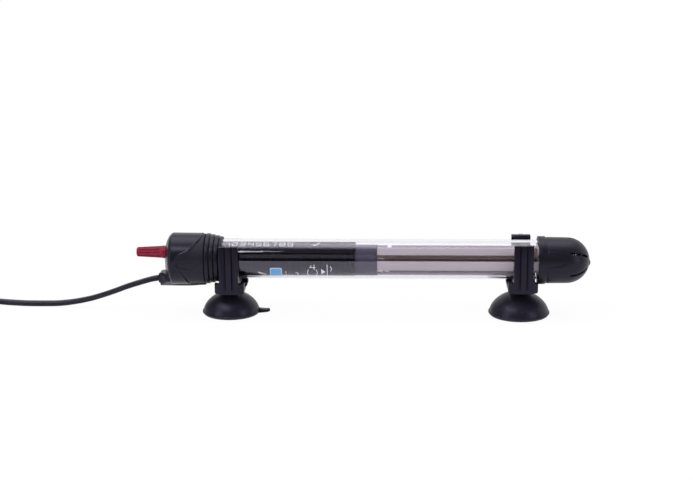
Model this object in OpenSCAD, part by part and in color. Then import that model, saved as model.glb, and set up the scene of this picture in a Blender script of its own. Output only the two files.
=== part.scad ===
// Submersible aquarium heater lying on its two suction cups.
// Frame: +X along the glass tube towards the guard, +Y to the back, +Z up.
// The origin is on the surface that the cups stand on, midway between the knob's tip and the guard's nose.

/* [Head] */
// Place of the head's flat face along the tube
head_x = -119.8; // [-130:0.1:-110]
// Outside diameter of the head behind its face
head_d = 31.2; // [30.4:0.2:36]
// How much narrower the head is at the collar
head_taper = 0.4; // [0:0.1:0.8]
// Length of the head
head_len = 24.9; // [22:0.1:34]
// Wall of the head round its cavity
head_wall = 1.8; // [1.2:0.1:2.4]
// Thickness of the head's closed face
head_face_t = 6; // [5:0.2:7]
// Radius of the flat part of the face
head_flat_r = 3.6; // [2:0.2:6]
// How far the face's rounding runs along the head
head_round = 5.4; // [3:0.2:8]
// Fullness of the face's rounding (1 is a cone, 2 is an ellipse)
head_fullness = 1.7; // [1.4:0.1:2.4]
// Depth of the stepped recess on each flank
recess_depth = 0.45; // [0.2:0.05:0.8]
// Length of the cable boss in front of the face
boss_len = 3.1; // [2:0.1:6]
// Width of the cable boss and of the fairing behind it
boss_w = 8.6; // [8.4:0.1:11]
// Height of the cable boss
boss_h = 9.2; // [8.8:0.1:11]
// How far the cable's centre lies below the tube's axis
cable_drop = 12.3; // [11.6:0.1:12.8]
// How far the fairing's round keel hangs below the cable's centre line
keel_drop = 0.5; // [0:0.1:0.8]

/* [Ribbed collar] */
// Length of the collar's visible, ribbed part
collar_len = 10.3; // [8.6:0.05:14]
// Distance from one collar rib to the next
rib_pitch = 2.75; // [2:0.05:3]
// Width of the groove between two collar ribs
rib_gap = 0.55; // [0.3:0.05:0.9]
// Depth of the grooves between the collar ribs
rib_depth = 0.8; // [0.4:0.05:1]
// Height of the largest collar rib above the glass
rib_top = 3.2; // [2.6:0.1:3.2]
// Height of the smallest collar rib above the glass
rib_end = 1.4; // [0.9:0.05:1.6]

/* [Glass tube] */
// Outside diameter of the glass tube
tube_d = 24; // [23:0.2:26]
// Wall of the glass tube
tube_wall = 1.5; // [1:0.1:1.7]
// Length of the glass tube with its round end
tube_len = 237.5; // [225:0.1:300]
// Thickness of the bung's flange at the tube's mouth
bung_flange_t = 3; // [2:0.1:4]
// Length of the bung inside the tube
bung_len = 11; // [6:0.5:11]
// Free length in the head for the cable's cores
core_room = 6.8; // [5:0.1:8]

/* [Knob] */
// Length of the knob that stands out of the face
knob_len = 17.1; // [12:0.1:24]
// Diameter of the knob at its base
knob_base_d = 7.6; // [7:0.1:8.4]
// Diameter of the knob at its tip
knob_tip_d = 5.9; // [5.4:0.1:7]
// Height of the knob's axis above the tube's axis
knob_rise = 3.9; // [3.4:0.1:4]
// Number of flutes round the knob
knob_flutes = 10; // [6:1:12]
// Depth of the knob's pocket in the face
knob_pocket = 3; // [2:0.1:4]
// Diameter of the adjusting spindle
spindle_d = 4; // [3:0.1:4.2]
// Length of the spindle from the knob's pocket into the thermostat
spindle_len = 46.5; // [40:0.5:48]

/* [Thermostat] */
// Inside diameter of the printed sleeve round the thermostat
sleeve_d = 19.6; // [19.2:0.1:19.8]
// Wall of the printed sleeve
sleeve_wall = 0.4; // [0.3:0.05:0.45]
// Length of the printed sleeve
sleeve_len = 86.4; // [80:0.1:90]
// Thickness of the thermostat frame's round end plates
plate_t = 2; // [1.5:0.1:3]
// Thickness of the frame's backbone
backbone_t = 2; // [1.5:0.1:2.4]
// Width of the frame's backbone
backbone_w = 13; // [11:0.5:14]
// Width of the bimetal strip
bimetal_w = 6; // [4:0.5:7]
// Thickness of the bimetal strip
bimetal_t = 0.8; // [0.6:0.1:1]
// Length of the bimetal strip
bimetal_len = 52; // [44:1:54]
// Thickness of the contact arm
arm_spring_t = 0.4; // [0.3:0.05:0.6]
// Gap between the open contacts
contact_gap = 0.5; // [0.4:0.1:0.8]
// Diameter of the contacts
contact_d = 3; // [2:0.1:4]

/* [Heating element] */
// Outside diameter of the element's holder
holder_d = 18.6; // [18.2:0.1:19]
// Length of the element's holder
holder_len = 12.9; // [10:0.1:18]
// Diameter of the ceramic core
core_d = 18; // [17:0.1:18.6]
// Length of the ceramic core
core_len = 97.4; // [85:0.1:98]
// How far the holder and the core sag below the tube's axis
core_sag = 0.7; // [0.3:0.05:0.8]
// Number of lengthwise grooves in the core
groove_count = 6; // [6:2:6]
// Width of each groove
groove_w = 3.6; // [3:0.1:3.8]
// Depth of each groove
groove_depth = 3.7; // [3.2:0.1:4]
// Angle of the front groove above the horizontal
groove_angle = 22; // [10:1:40]
// Outside diameter of the wound heating wire
winding_d = 2.2; // [1.6:0.1:2.6]
// Diameter of the bare wire between two windings
wire_d = 1; // [0.6:0.1:1.2]

/* [Guard cap] */
// Wall of the guard's dome
guard_wall = 1.15; // [0.9:0.05:2]
// How much the guard's wall thickens from its dome to its rim
guard_draft = 0.3; // [0.1:0.05:0.6]
// How far the guard's rim stands out
guard_rim_out = 0.4; // [0.2:0.05:1]
// Length of the guard's rim
guard_rim_len = 4.1; // [3:0.1:6]
// Length of the guard from its rim to where its dome starts
guard_len = 17.2; // [14:0.1:24]
// Clearance between the glass and the guard
guard_fit = 0.55; // [0.4:0.05:0.7]
// How far the guard sags on the glass within its clearance
guard_sag = 0.3; // [0:0.05:0.35]
// Number of slots round the guard's dome
slot_count = 6; // [4:1:8]
// Distance from the dome's start to a slot
slot_start = 1.1; // [0.6:0.1:3]
// Length of each slot along the tube
slot_len = 10.9; // [6:0.1:11]
// Width of each slot
slot_w = 1.5; // [1:0.1:2.5]
// Angle of the front upper slot above the horizontal
slot_angle = 31; // [10:1:40]
// How far the nose stands out of the dome
nose_out = 0.7; // [0.4:0.1:2]
// How far the nose lies below the guard's axis
nose_drop = 1.2; // [0:0.1:2]
// Radius of the nose
nose_r = 3; // [2:0.1:4]

/* [Clips] */
// Clearance between the glass and a clip's saddle
clip_fit = 0.3; // [0.2:0.05:0.5]
// Thickness of a clip's two side plates
clip_plate_t = 3.1; // [1.9:0.1:3.4]
// Width of a clip's side plates along the tube
clip_arm_w = 11.4; // [10:0.1:14]
// Height of a clip's side plates above the tube's axis
clip_arm_h = 11.9; // [9:0.1:13]
// Length of a clip's base along the tube
clip_base_w = 17.6; // [16:0.1:20]
// Height of a clip's base
clip_base_h = 6; // [5:0.1:6.4]
// Depth of a clip's underside below the tube's axis
clip_depth = 17.3; // [17:0.1:19]
// Thickness of the saddle web under the tube
web_t = 1.2; // [0.8:0.1:1.4]
// Thickness of the bottom plate with the keyhole
keyplate_t = 1.8; // [1.4:0.1:2]
// Width of the stiffening rib on each side plate
clip_rib_w = 3.2; // [2:0.1:5]
// How far the stiffening rib stands out
clip_rib_out = 0.7; // [0.4:0.1:1.5]
// Width of the groove on each side of the stiffening rib
clip_groove_w = 0.7; // [0.4:0.1:1.2]
// Depth of those grooves
clip_groove_depth = 0.5; // [0.2:0.1:0.8]
// How far the start of the keyhole's seat lies from the clip's middle
seat_shift = -1.3; // [-2:0.1:2]
// Length over which a cup can shift in that seat
seat_len = 0.7; // [0:0.1:2]
// How far the left clip's arms reach over the collar's last rib
clip_left_lap = 0.9; // [0:0.1:1.6]
// Gap between the right clip's base and the guard's rim
clip_right_gap = 0.3; // [0.3:0.1:20]

/* [Suction cups] */
// Diameter of the left cup's rim
cup_left_d = 35; // [30:0.2:38]
// Diameter of the right cup's rim
cup_right_d = 36.8; // [30:0.2:38]
// Height of the left cup's dome
cup_left_h = 14; // [12.5:0.1:14.3]
// Height of the right cup's dome
cup_right_h = 14.6; // [14.3:0.1:17]
// Free neck between the left cup's dome and its clip
cup_left_gap = 1.4; // [0.3:0.05:2]
// Free neck between the right cup's dome and its clip
cup_right_gap = 2.1; // [1:0.05:3]
// Wall of a cup at its middle
cup_wall = 2.2; // [1.5:0.1:3]
// Width of a cup's rim lip
cup_lip_w = 0.9; // [0.6:0.1:1.4]
// Height of a cup's rim edge above its foot
cup_lip_h = 1.3; // [0.6:0.1:1.6]
// How far a cup's foot lies inside its rim edge
cup_bevel = 1; // [0.4:0.1:1.6]
// Fullness of a cup's dome (1 is a cone, 2 is an ellipse)
cup_fullness = 1.82; // [1.6:0.02:2]
// Diameter of a cup's neck
cup_neck_d = 6.4; // [5:0.1:7]
// Diameter of a cup's mushroom head
cup_head_d = 10.4; // [8.5:0.1:12]
// Height of a cup's mushroom head
cup_head_h = 1.6; // [1.2:0.1:1.7]
// Length of a cup's pull tab
tab_len = 6.2; // [3:0.2:8]
// Width of a cup's pull tab
tab_w = 5; // [3:0.2:8]
// Thickness of a cup's pull tab
tab_t = 1.2; // [0.8:0.1:2]
// Angle at which a cup's pull tab lifts
tab_lift = 6; // [0:1:30]

/* [Cord and plug] */
// Width of the flat cord
cord_w = 5.2; // [4.8:0.1:5.6]
// Thickness of the flat cord
cord_t = 3.3; // [3:0.1:3.6]
// Width of the plug's body
plug_w = 35.3; // [34:0.1:37]
// Thickness of the plug's body
plug_t = 13.7; // [12:0.1:15]
// Length of the plug's body
plug_len = 36; // [30:0.5:40]
// Length of the plug's pins
pin_len = 19; // [18:0.1:20]
// Diameter of the plug's pins
pin_d = 4; // [3.9:0.1:4.8]
// Distance between the plug's pins
pin_pitch = 18.6; // [17:0.1:19]
// Width of the tie round the cord's hank
tie_w = 7; // [4:0.5:12]

/* [Clearances] */
// Clearance between pieces that are pushed together
fit = 0.1; // [0.05:0.05:0.2]
// Radial clearance of the spindle in its bores
spindle_fit = 0.05; // [0.03:0.01:0.1]
// Clearance between the knob and its pocket
knob_fit = 0.3; // [0.2:0.05:0.6]
// Clearance round a cup's neck and over its mushroom head
cup_fit = 0.3; // [0.2:0.05:0.5]

/* [Hidden] */
$fn = 96;

eps = 0.01;
black = [0.07, 0.07, 0.075];
rubber = [0.1, 0.1, 0.105];
tube_r = tube_d / 2;
bore_r = tube_r - tube_wall;
head_r = head_d / 2;
head_end_r = head_r - head_taper / 2;

// Heights: the right cup and clip carry the tube, and the left clip hangs lower on its own cup.
axis_z = cup_right_h + cup_right_gap + clip_depth;
left_drop = axis_z - clip_depth - cup_left_h - cup_left_gap;

// Places along the tube.
head_end = head_x + head_len;
tube_x = head_x + head_face_t + core_room + bung_flange_t;
collar_end = head_end + collar_len;
dome_x = tube_x + tube_len - tube_r;
guard_x = dome_x - guard_len;
bung_end = tube_x + bung_len;
frame_x = bung_end + 3;
sleeve_x = frame_x - 1;
holder_x = sleeve_x + sleeve_len + fit;
frame_end = holder_x - 2;
core_x = holder_x + holder_len;
core_end = core_x + core_len;
clip_left_x = collar_end - clip_left_lap + clip_arm_w / 2;
clip_right_x = guard_x - clip_right_gap - clip_base_w / 2;
spindle_end = head_x + knob_pocket + spindle_len;

// Moves a shape that is drawn round Z so that it lies along the tube's axis and starts at x.
module along(x, dz = 0, y = 0) {
    translate([x, y, axis_z + dz]) rotate([0, 90, 0]) children();
}

// Extrudes an outline of the cross-section (Y to the right, Z up from the tube's axis) from x on.
module across(x, len, dz = 0) {
    translate([x, 0, axis_z + dz]) rotate([90, 0, 90]) linear_extrude(len) children();
}

// Extrudes an outline of the side view (X along the tube, Z up from the tube's axis) over a width.
module flank(w) {
    translate([0, w / 2, axis_z]) rotate([90, 0, 0]) linear_extrude(w) children();
}

// A box given by its least corner and its size, with heights taken from the tube's axis.
module block(x, y, z, size) {
    translate([x, y, axis_z + z]) cube(size);
}

// A round wire through a list of points, with balls at its bends.
module wire(points, d) {
    for (i = [0:len(points) - 2]) {
        v = points[i + 1] - points[i];
        translate(points[i]) rotate([0, acos(v[2] / norm(v)), atan2(v[1], v[0])])
            cylinder(d = d, h = norm(v), $fn = 24);
        if (i > 0) translate(points[i]) sphere(d = d * 1.15, $fn = 24);
    }
}

// Head ------------------------------------------------------------------------------------------

// Outline of the head from its axis outwards: the flat face, its full rounding and the tapered barrel.
head_outline = concat([[0, 0]],
    [for (a = [0:7.5:90]) [head_flat_r + (head_r - head_flat_r) * pow(sin(a), 2 / head_fullness),
        head_round * (1 - pow(cos(a), 2 / head_fullness))]],
    [[head_end_r, head_len], [0, head_len]]);

// Boss and fairing that carry the cable under the head: side view, cross-section and plan. The
// cross-section joins the round keel to the barrel along their common tangents.
boss_x = head_x - boss_len;
boss_r = boss_w / 2;
boss_top = -cable_drop + boss_h / 2;
boss_low = -cable_drop - boss_h / 2;
keel_low = -cable_drop - keel_drop - boss_r;
module fairing_side() {
    polygon([[boss_x, boss_top], [boss_x, boss_low + 0.3], [head_x, boss_low + 0.3],
        [head_x + 5, keel_low + 0.35], [head_x + 9, keel_low], [head_x + 12.5, keel_low],
        [head_x + 16, keel_low + 0.4], [head_x + 21, keel_low + 1.1], [head_end, -head_end_r - 0.3],
        [head_end, -head_end_r + head_wall], [head_x + head_face_t, -head_r + head_wall],
        [head_x + head_face_t, boss_top]]);
}

module fairing_section() {
    keel_z = keel_low + boss_r;
    flank_r = head_end_r - recess_depth;
    lean = acos((flank_r - boss_r) / -keel_z);
    top = flank_r * [sin(lean), -cos(lean)];
    foot = [0, keel_z] + boss_r * [sin(lean), -cos(lean)];
    translate([0, keel_z]) circle(r = boss_r);
    polygon([[-top[0], top[1]], [-foot[0], foot[1]], foot, top]);
    translate([-boss_r, keel_z]) square([boss_w, boss_top - keel_z]);
}

module fairing_plan() {
    wide = head_r * 0.62;
    side = [[boss_x, boss_r], [head_x, boss_r], [head_x + head_round / 3, boss_r + 1.1],
        [head_x + head_round, wide], [head_end, wide]];
    polygon(concat(side, [for (i = [len(side) - 1:-1:0]) [side[i][0], -side[i][1]]]));
}

module fairing() {
    intersection() {
        flank(head_d) fairing_side();
        across(boss_x, head_end - boss_x) fairing_section();
        translate([0, 0, axis_z - head_d]) linear_extrude(head_d) fairing_plan();
    }
}

// The lower flank that is set back behind the S-shaped step.
module recess_outline() {
    polygon([[head_x + 8.6, 1.0], [head_x + 9, 3.6], [head_x + 10.4, 5.0], [head_x + 12.6, 5.9],
        [head_x + 15.2, 7.0], [head_x + 17.4, 8.6], [head_x + 19.2, 10.4], [head_x + 21.2, 12.6],
        [head_x + 23, 14.4], [head_x + 24.2, head_r + 1], [head_end + 1, head_r + 1],
        [head_end + 1, -head_r - 1], [head_x + 16.2, -head_r - 1], [head_x + 13.2, -9],
        [head_x + 10.2, -3.6]]);
}

// A bare leaf-shaped field on the flank.
module leaf_outline() {
    intersection() {
        translate([head_x + 16.1, -10.2]) circle(r = 12.4);
        translate([head_x + 16.1, 8.8]) circle(r = 12.4);
    }
}

module ring(r_out, r_in, x, len) {
    along(x) difference() {
        cylinder(r = r_out, h = len);
        translate([0, 0, -1]) cylinder(r = r_in, h = len + 2);
    }
}

// What lies outside the barrel when its surface is set back by a depth.
module outside_barrel(depth) {
    along(head_x) difference() {
        cylinder(r = head_r + 1, h = head_len + 1);
        translate([0, 0, -eps]) cylinder(r1 = head_r - depth, r2 = head_end_r - depth, h = head_len + eps);
        translate([0, 0, head_len - eps]) cylinder(r = head_end_r - depth, h = 2);
    }
}

module head_shell() {
    color(black) difference() {
        union() {
            difference() {
                along(head_x) rotate_extrude() polygon(head_outline);
                intersection() {
                    outside_barrel(recess_depth);
                    flank(head_d + 2) recess_outline();
                }
                intersection() {
                    outside_barrel(2 * recess_depth);
                    flank(head_d + 2) leaf_outline();
                }
            }
            fairing();
        }
        along(head_x + head_face_t) cylinder(r = head_r - head_wall, h = head_len);
        along(head_x - 1, knob_rise) cylinder(d = knob_base_d + 2 * knob_fit, h = knob_pocket + 1);
        along(head_x, knob_rise) cylinder(d = spindle_d + 2 * spindle_fit, h = head_face_t + 1);
        along(boss_x - 1, -cable_drop) cylinder(d = gland_d + 2 * fit, h = gland_bore_len + 1);
    }
}

// Collar and bung ---------------------------------------------------------------------------------

rib_step = (rib_top - rib_end) / 3;
module seal_collar() {
    in_head = head_end - tube_x - fit;
    color(rubber) along(tube_x + fit) difference() {
        union() {
            cylinder(r = head_r - head_wall - fit, h = in_head);
            for (i = [0:3]) {
                start = in_head + i * rib_pitch;
                rib_r = tube_r + rib_top - i * rib_step;
                end = min(start + rib_pitch, in_head + collar_len);
                translate([0, 0, start - eps]) cylinder(r = rib_r - rib_depth, h = end - start + eps);
                translate([0, 0, start + rib_gap]) cylinder(r = rib_r, h = end - start - rib_gap);
            }
        }
        translate([0, 0, -1]) cylinder(r = tube_r + fit / 2, h = in_head + collar_len + 2);
    }
}

lead_d = 1.8;
lead_y = 4.2;
lead_z = -3.4;
module lead_bores(x, len) {
    for (side = [-1, 1])
        along(x, lead_z, side * lead_y) cylinder(d = lead_d + fit, h = len, $fn = 24);
}

module tube_bung() {
    color([0.16, 0.16, 0.17]) difference() {
        union() {
            along(tube_x - bung_flange_t) cylinder(r = head_r - head_wall - fit, h = bung_flange_t);
            along(tube_x - eps) cylinder(r = bore_r - fit, h = bung_len);
            for (i = [1:3])
                along(tube_x + i * bung_len / 4) rotate_extrude()
                    translate([bore_r - fit - 0.4, 0]) circle(r = 0.45, $fn = 16);
        }
        along(tube_x - bung_flange_t - 1, knob_rise)
            cylinder(d = spindle_d + 2 * spindle_fit, h = bung_flange_t + bung_len + 2);
        lead_bores(tube_x - bung_flange_t - 1, bung_flange_t + bung_len + 2);
    }
}

module glass_tube() {
    color([0.85, 0.9, 0.92, 0.35]) along(tube_x) rotate_extrude() difference() {
        union() {
            square([tube_r, dome_x - tube_x]);
            intersection() {
                translate([0, dome_x - tube_x]) circle(r = tube_r);
                translate([0, dome_x - tube_x - eps]) square(tube_d);
            }
        }
        translate([-eps, -1]) square([bore_r + eps, dome_x - tube_x + 1]);
        intersection() {
            translate([0, dome_x - tube_x]) circle(r = bore_r);
            translate([-eps, dome_x - tube_x - eps]) square(tube_d);
        }
        translate([-tube_d, -1]) square([tube_d, 2 * tube_len]);
    }
}

// Knob and spindle ----------------------------------------------------------------------------------

knob_base = head_x + knob_pocket - knob_fit;
knob_tip = head_x - knob_len;
knob_all = knob_base - knob_tip;
spindle_in_knob = 12;
module knob() {
    tip_r = knob_tip_d / 2;
    base_r = knob_base_d / 2;
    tip_round = 0.9;
    color([0.68, 0.06, 0.13]) along(knob_tip, knob_rise) difference() {
        rotate_extrude() polygon(concat([[0, 0], [tip_r - tip_round, 0]],
            [for (a = [15:15:75]) [tip_r - tip_round + tip_round * sin(a), tip_round - tip_round * cos(a)]],
            [[tip_r, tip_round], [base_r, knob_all - 3.2], [base_r, knob_all], [0, knob_all]]));
        for (i = [0:knob_flutes - 1])
            rotate([0, 0, i * 360 / knob_flutes]) translate([tip_r + 0.65, 0, 2.4])
                rotate([0, 3.2, 0]) cylinder(r = 0.62, h = knob_all - 7.6, $fn = 16);
        translate([0, 0, knob_all - spindle_in_knob]) cylinder(d = spindle_d + fit, h = spindle_in_knob + 1);
    }
}

thread_d = spindle_d - 1;
thread_len = 14;
seal_x = head_x + head_face_t + 2.2;
seal_wire = 1.2;
module knob_spindle() {
    start = knob_base - spindle_in_knob + fit;
    color([0.78, 0.62, 0.3]) difference() {
        union() {
            along(start, knob_rise) cylinder(d = spindle_d, h = spindle_end - thread_len - start);
            along(spindle_end - thread_len - eps, knob_rise) cylinder(d = thread_d, h = thread_len);
        }
        along(seal_x, knob_rise) rotate_extrude()
            translate([spindle_d / 2, 0]) square([1.2, seal_wire + 2 * fit], center = true);
    }
}

module spindle_seal() {
    color([0.12, 0.12, 0.12]) along(seal_x, knob_rise) rotate_extrude()
        translate([spindle_d / 2 - 0.6 + fit + seal_wire / 2, 0]) circle(d = seal_wire, $fn = 24);
}

// Cable entry ---------------------------------------------------------------------------------------

gland_d = 6.8;
gland_out = 1.1;
gland_bore_len = boss_len + head_face_t + 2;
gland_x = boss_x - gland_out;
module cord_outline(grow = 0) {
    w = cord_w + 2 * grow;
    t = cord_t + 2 * grow;
    for (side = [-1, 1]) translate([side * (w - t) / 2, 0]) circle(d = t, $fn = 48);
    translate([-(w - t) / 2, -t / 2]) square([w - t, t]);
}

module cable_gland() {
    color(rubber) difference() {
        union() {
            along(gland_x, -cable_drop) cylinder(d1 = gland_d - 1.2, d2 = gland_d, h = gland_out);
            along(boss_x - eps, -cable_drop) cylinder(d = gland_d, h = gland_bore_len - 1);
        }
        across(gland_x - 1, gland_bore_len + gland_out + 2, -cable_drop) cord_outline(fit / 2);
    }
}

cord_end_x = boss_x + gland_bore_len;
module cord_end() {
    color(rubber) across(gland_x, cord_end_x - gland_x, -cable_drop) cord_outline();
}

// Leads: the cord's two cores run through the bung to the thermostat and on to the element.
post_x = frame_end - 16;
lead_start_y = 1.3;
lead_rise_x = cord_end_x + 2;
module supply_leads() {
    for (side = [-1, 1])
        color(side < 0 ? [0.45, 0.27, 0.15] : [0.15, 0.3, 0.62]) wire([
            [cord_end_x + fit, side * lead_start_y, axis_z - cable_drop],
            [lead_rise_x, side * lead_start_y, axis_z - cable_drop],
            [lead_rise_x, side * lead_y, axis_z + lead_z],
            [side < 0 ? post_x + 2 : frame_end - plate_t - fit, side * lead_y, axis_z + lead_z]], lead_d);
}

// Thermostat ----------------------------------------------------------------------------------------

plate_r = sleeve_d / 2 - fit;
backbone_z = -8.2;
post_h = 4.2;
post_len = 8;
strip_z = backbone_z + backbone_t + post_h;
contact_h = 0.7;
arm_z = strip_z + bimetal_t + 2 * contact_h + contact_gap;
strip_end = post_x + post_len - bimetal_len;
contact_x = strip_end + 4;
slider_x = spindle_end - 12;
slider_len = 13;
slider_w = 7;
slider_h = 6.6;
slider_gap = 0.3;
slider_low = arm_z + arm_spring_t + slider_gap;
guide_w = 2.4;
guide_h = 13.6;
rail_w = 1.2;
stub_r = 5;
stub_len = 3;
element_lead_y = 2.4;
module thermostat_frame() {
    lead_slot = lead_d + 2 * fit;
    color([0.86, 0.84, 0.78]) difference() {
        intersection() {
            along(frame_x) cylinder(r = plate_r, h = holder_x + stub_len - frame_x);
            union() {
                along(frame_x) cylinder(r = plate_r, h = plate_t);
                along(frame_end - plate_t) cylinder(r = plate_r, h = plate_t);
                along(frame_end - eps, -core_sag) cylinder(r = stub_r, h = holder_x + stub_len - frame_end);
                block(frame_x, -backbone_w / 2, backbone_z, [frame_end - frame_x, backbone_w, backbone_t]);
                for (side = [-1, 1])
                    block(frame_x, (side * (backbone_w - rail_w) - rail_w) / 2, backbone_z,
                        [frame_end - frame_x, rail_w, backbone_t + 1.6]);
                block(post_x, -bimetal_w / 2, backbone_z, [post_len, bimetal_w, strip_z - backbone_z - fit]);
                block(post_x + post_len + 0.5, -bimetal_w / 2, backbone_z,
                    [post_len / 2, bimetal_w, arm_z - backbone_z - fit]);
                for (side = [-1, 1])
                    block(slider_x - 3, side * (slider_w / 2 + slider_gap + guide_w / 2) - guide_w / 2,
                        backbone_z, [slider_len + 8, guide_w, guide_h]);
            }
        }
        along(frame_x - 1, knob_rise) cylinder(d = spindle_d + 2 * spindle_fit, h = plate_t + 2);
        lead_bores(frame_x - 1, plate_t + 2);
        for (side = [-1, 1]) {
            along(frame_end - plate_t - 1, -core_sag, side * element_lead_y)
                cylinder(d = lead_d + fit, h = holder_x + 6 - frame_end, $fn = 24);
            block(slider_x - 4, side * lead_y - lead_slot / 2, lead_z - lead_slot / 2,
                [slider_len + 10, lead_slot, lead_slot]);
        }
    }
}

module adjust_slider() {
    color([0.88, 0.87, 0.82]) difference() {
        intersection() {
            block(slider_x, -slider_w / 2, slider_low, [slider_len, slider_w, slider_h]);
            flank(slider_w + 1) polygon([[slider_x, slider_low], [slider_x + slider_len - 3, slider_low],
                [slider_x + slider_len, slider_low + 1.6], [slider_x + slider_len, slider_low + slider_h],
                [slider_x, slider_low + slider_h]]);
        }
        along(slider_x - 1, knob_rise) cylinder(d = thread_d + 2 * spindle_fit, h = slider_len + 2);
    }
}

module bimetal_strip() {
    color([0.72, 0.58, 0.34])
        block(strip_end, -bimetal_w / 2, strip_z, [bimetal_len, bimetal_w, bimetal_t]);
}

module contact_arm() {
    color([0.8, 0.55, 0.35])
        block(contact_x - 3, -bimetal_w / 2 + 0.5, arm_z,
            [post_x + 1.5 * post_len + 0.5 - contact_x + 3, bimetal_w - 1, arm_spring_t]);
}

module moving_contact() {
    color([0.86, 0.86, 0.88]) translate([contact_x, 0, axis_z + strip_z + bimetal_t])
        cylinder(d = contact_d, h = contact_h);
}

module fixed_contact() {
    color([0.86, 0.86, 0.88]) translate([contact_x, 0, axis_z + arm_z - contact_h])
        cylinder(d = contact_d, h = contact_h);
}

module magnet() {
    color([0.3, 0.3, 0.32])
        block(strip_end - 1, -2.5, backbone_z + backbone_t, [5, 5, post_h - 0.6]);
}

module suppressor() {
    color([0.2, 0.35, 0.6])
        translate([post_x - 14, 0, axis_z + backbone_z + backbone_t]) cylinder(r = 2.1, h = 2.4);
}

module sleeve() {
    color([0.05, 0.05, 0.06]) ring(sleeve_d / 2 + sleeve_wall, sleeve_d / 2, sleeve_x, sleeve_len);
}

// Heating element -----------------------------------------------------------------------------------

spigot_r = 5;
spigot_len = 4;
groove_r = core_d / 2 - groove_depth + groove_w / 2;
groove_step = 360 / groove_count;
function groove_at(i) = 180 - groove_angle - i * groove_step;
function on_core(x, i, r = groove_r) =
    [x, r * cos(groove_at(i)), axis_z - core_sag + r * sin(groove_at(i))];

wiring_gap = 1.8;
module element_holder() {
    color([0.2, 0.2, 0.21]) difference() {
        along(holder_x, -core_sag) cylinder(d = holder_d, h = holder_len);
        along(holder_x - 1, -core_sag) cylinder(r = stub_r + fit, h = 1 + stub_len + fit);
        along(core_x - spigot_len - wiring_gap, -core_sag)
            cylinder(r = spigot_r + fit, h = spigot_len + wiring_gap + 1);
        for (side = [-1, 1]) along(holder_x, -core_sag, side * element_lead_y)
            cylinder(d = lead_d + fit, h = holder_len, $fn = 24);
        for (i = [0, groove_count - 1]) lead_channel(i);
    }
}

// A slot in the holder from its socket out to one of the core's grooves.
module lead_channel(i) {
    translate([core_x - spigot_len - wiring_gap, 0, axis_z - core_sag]) rotate([groove_at(i) - 90, 0, 0])
        translate([0, -(lead_d + fit) / 2, 0])
            cube([spigot_len + wiring_gap + 1, lead_d + fit, groove_r + lead_d / 2 + fit]);
}

module ceramic_core() {
    color([0.69, 0.64, 0.7]) difference() {
        union() {
            across(core_x + fit, core_len - fit, -core_sag) difference() {
                circle(d = core_d);
                for (i = [0:groove_count - 1]) rotate(groove_at(i)) {
                    translate([groove_r, 0]) circle(d = groove_w, $fn = 48);
                    translate([groove_r, -groove_w / 2]) square([groove_w * 2, groove_w]);
                }
            }
            along(core_x - spigot_len, -core_sag) cylinder(r = spigot_r, h = spigot_len + 1);
        }
        for (i = [0:2:groove_count - 2]) link_notch(core_end - 4.4, i);
        for (i = [1:2:groove_count - 3]) link_notch(link_left - 1.2, i);
    }
}

// The notch in a land where the wire crosses from groove i to groove i + 1.
module link_notch(x, i) {
    translate([x, 0, axis_z - core_sag]) rotate([groove_at(i + 1), 0, 0]) rotate([90, 0, 90])
        rotate_extrude(angle = groove_step) translate([groove_r - 1, 0]) square([core_d, 2.4]);
}

link_right = core_end - 3.2;
link_left = core_x + 7.4;
module wire_link(x, i) {
    translate([x, 0, axis_z - core_sag]) rotate([groove_at(i + 1), 0, 0]) rotate([90, 0, 90])
        rotate_extrude(angle = groove_step, $fn = 48) translate([groove_r, 0]) circle(d = wire_d, $fn = 24);
}

function winding_start(i) = i == 0 ? core_x + 4.3 : i == groove_count - 1 ? core_x + 7.4 : link_left - 1;
module heating_wire() {
    color([0.62, 0.5, 0.38]) {
        for (i = [0:groove_count - 1])
            translate(on_core(winding_start(i), i)) rotate([0, 90, 0])
                cylinder(d = winding_d, h = link_right + 1 - winding_start(i), $fn = 32);
        for (i = [0:2:groove_count - 2]) wire_link(link_right, i);
        for (i = [1:2:groove_count - 3]) wire_link(link_left, i);
    }
}

crimp_d = 2.6;
module terminal_crimps() {
    last = groove_count - 1;
    color([0.78, 0.76, 0.72]) {
        for (span = [[0.2, 3.5], [4.9, 2.4]])
            translate(on_core(core_x + span[0], last)) rotate([0, 90, 0]) cylinder(d = crimp_d, h = span[1]);
        translate(on_core(core_x + 3.6, last)) rotate([0, 90, 0]) cylinder(d = wire_d, h = 1.4, $fn = 24);
    }
}

module element_leads() {
    turn_x = core_x - spigot_len - wiring_gap / 2;
    ends = [[0, core_x + 4.2, -1], [groove_count - 1, core_x + fit, 1]];
    color([0.8, 0.78, 0.74]) for (e = ends)
        wire([on_core(e[1], e[0]), on_core(turn_x, e[0]),
            [turn_x, e[2] * element_lead_y, axis_z - core_sag],
            [frame_end - plate_t, e[2] * element_lead_y, axis_z - core_sag]], wire_d);
}

module end_cushion() {
    pad_r = 8;
    reach = dome_x + sqrt(pow(bore_r - 1, 2) - pow(pad_r, 2));
    color([0.2, 0.19, 0.2]) along(core_end + fit)
        cylinder(r = pad_r, h = reach - core_end - fit);
}

// Guard cap -----------------------------------------------------------------------------------------

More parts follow.
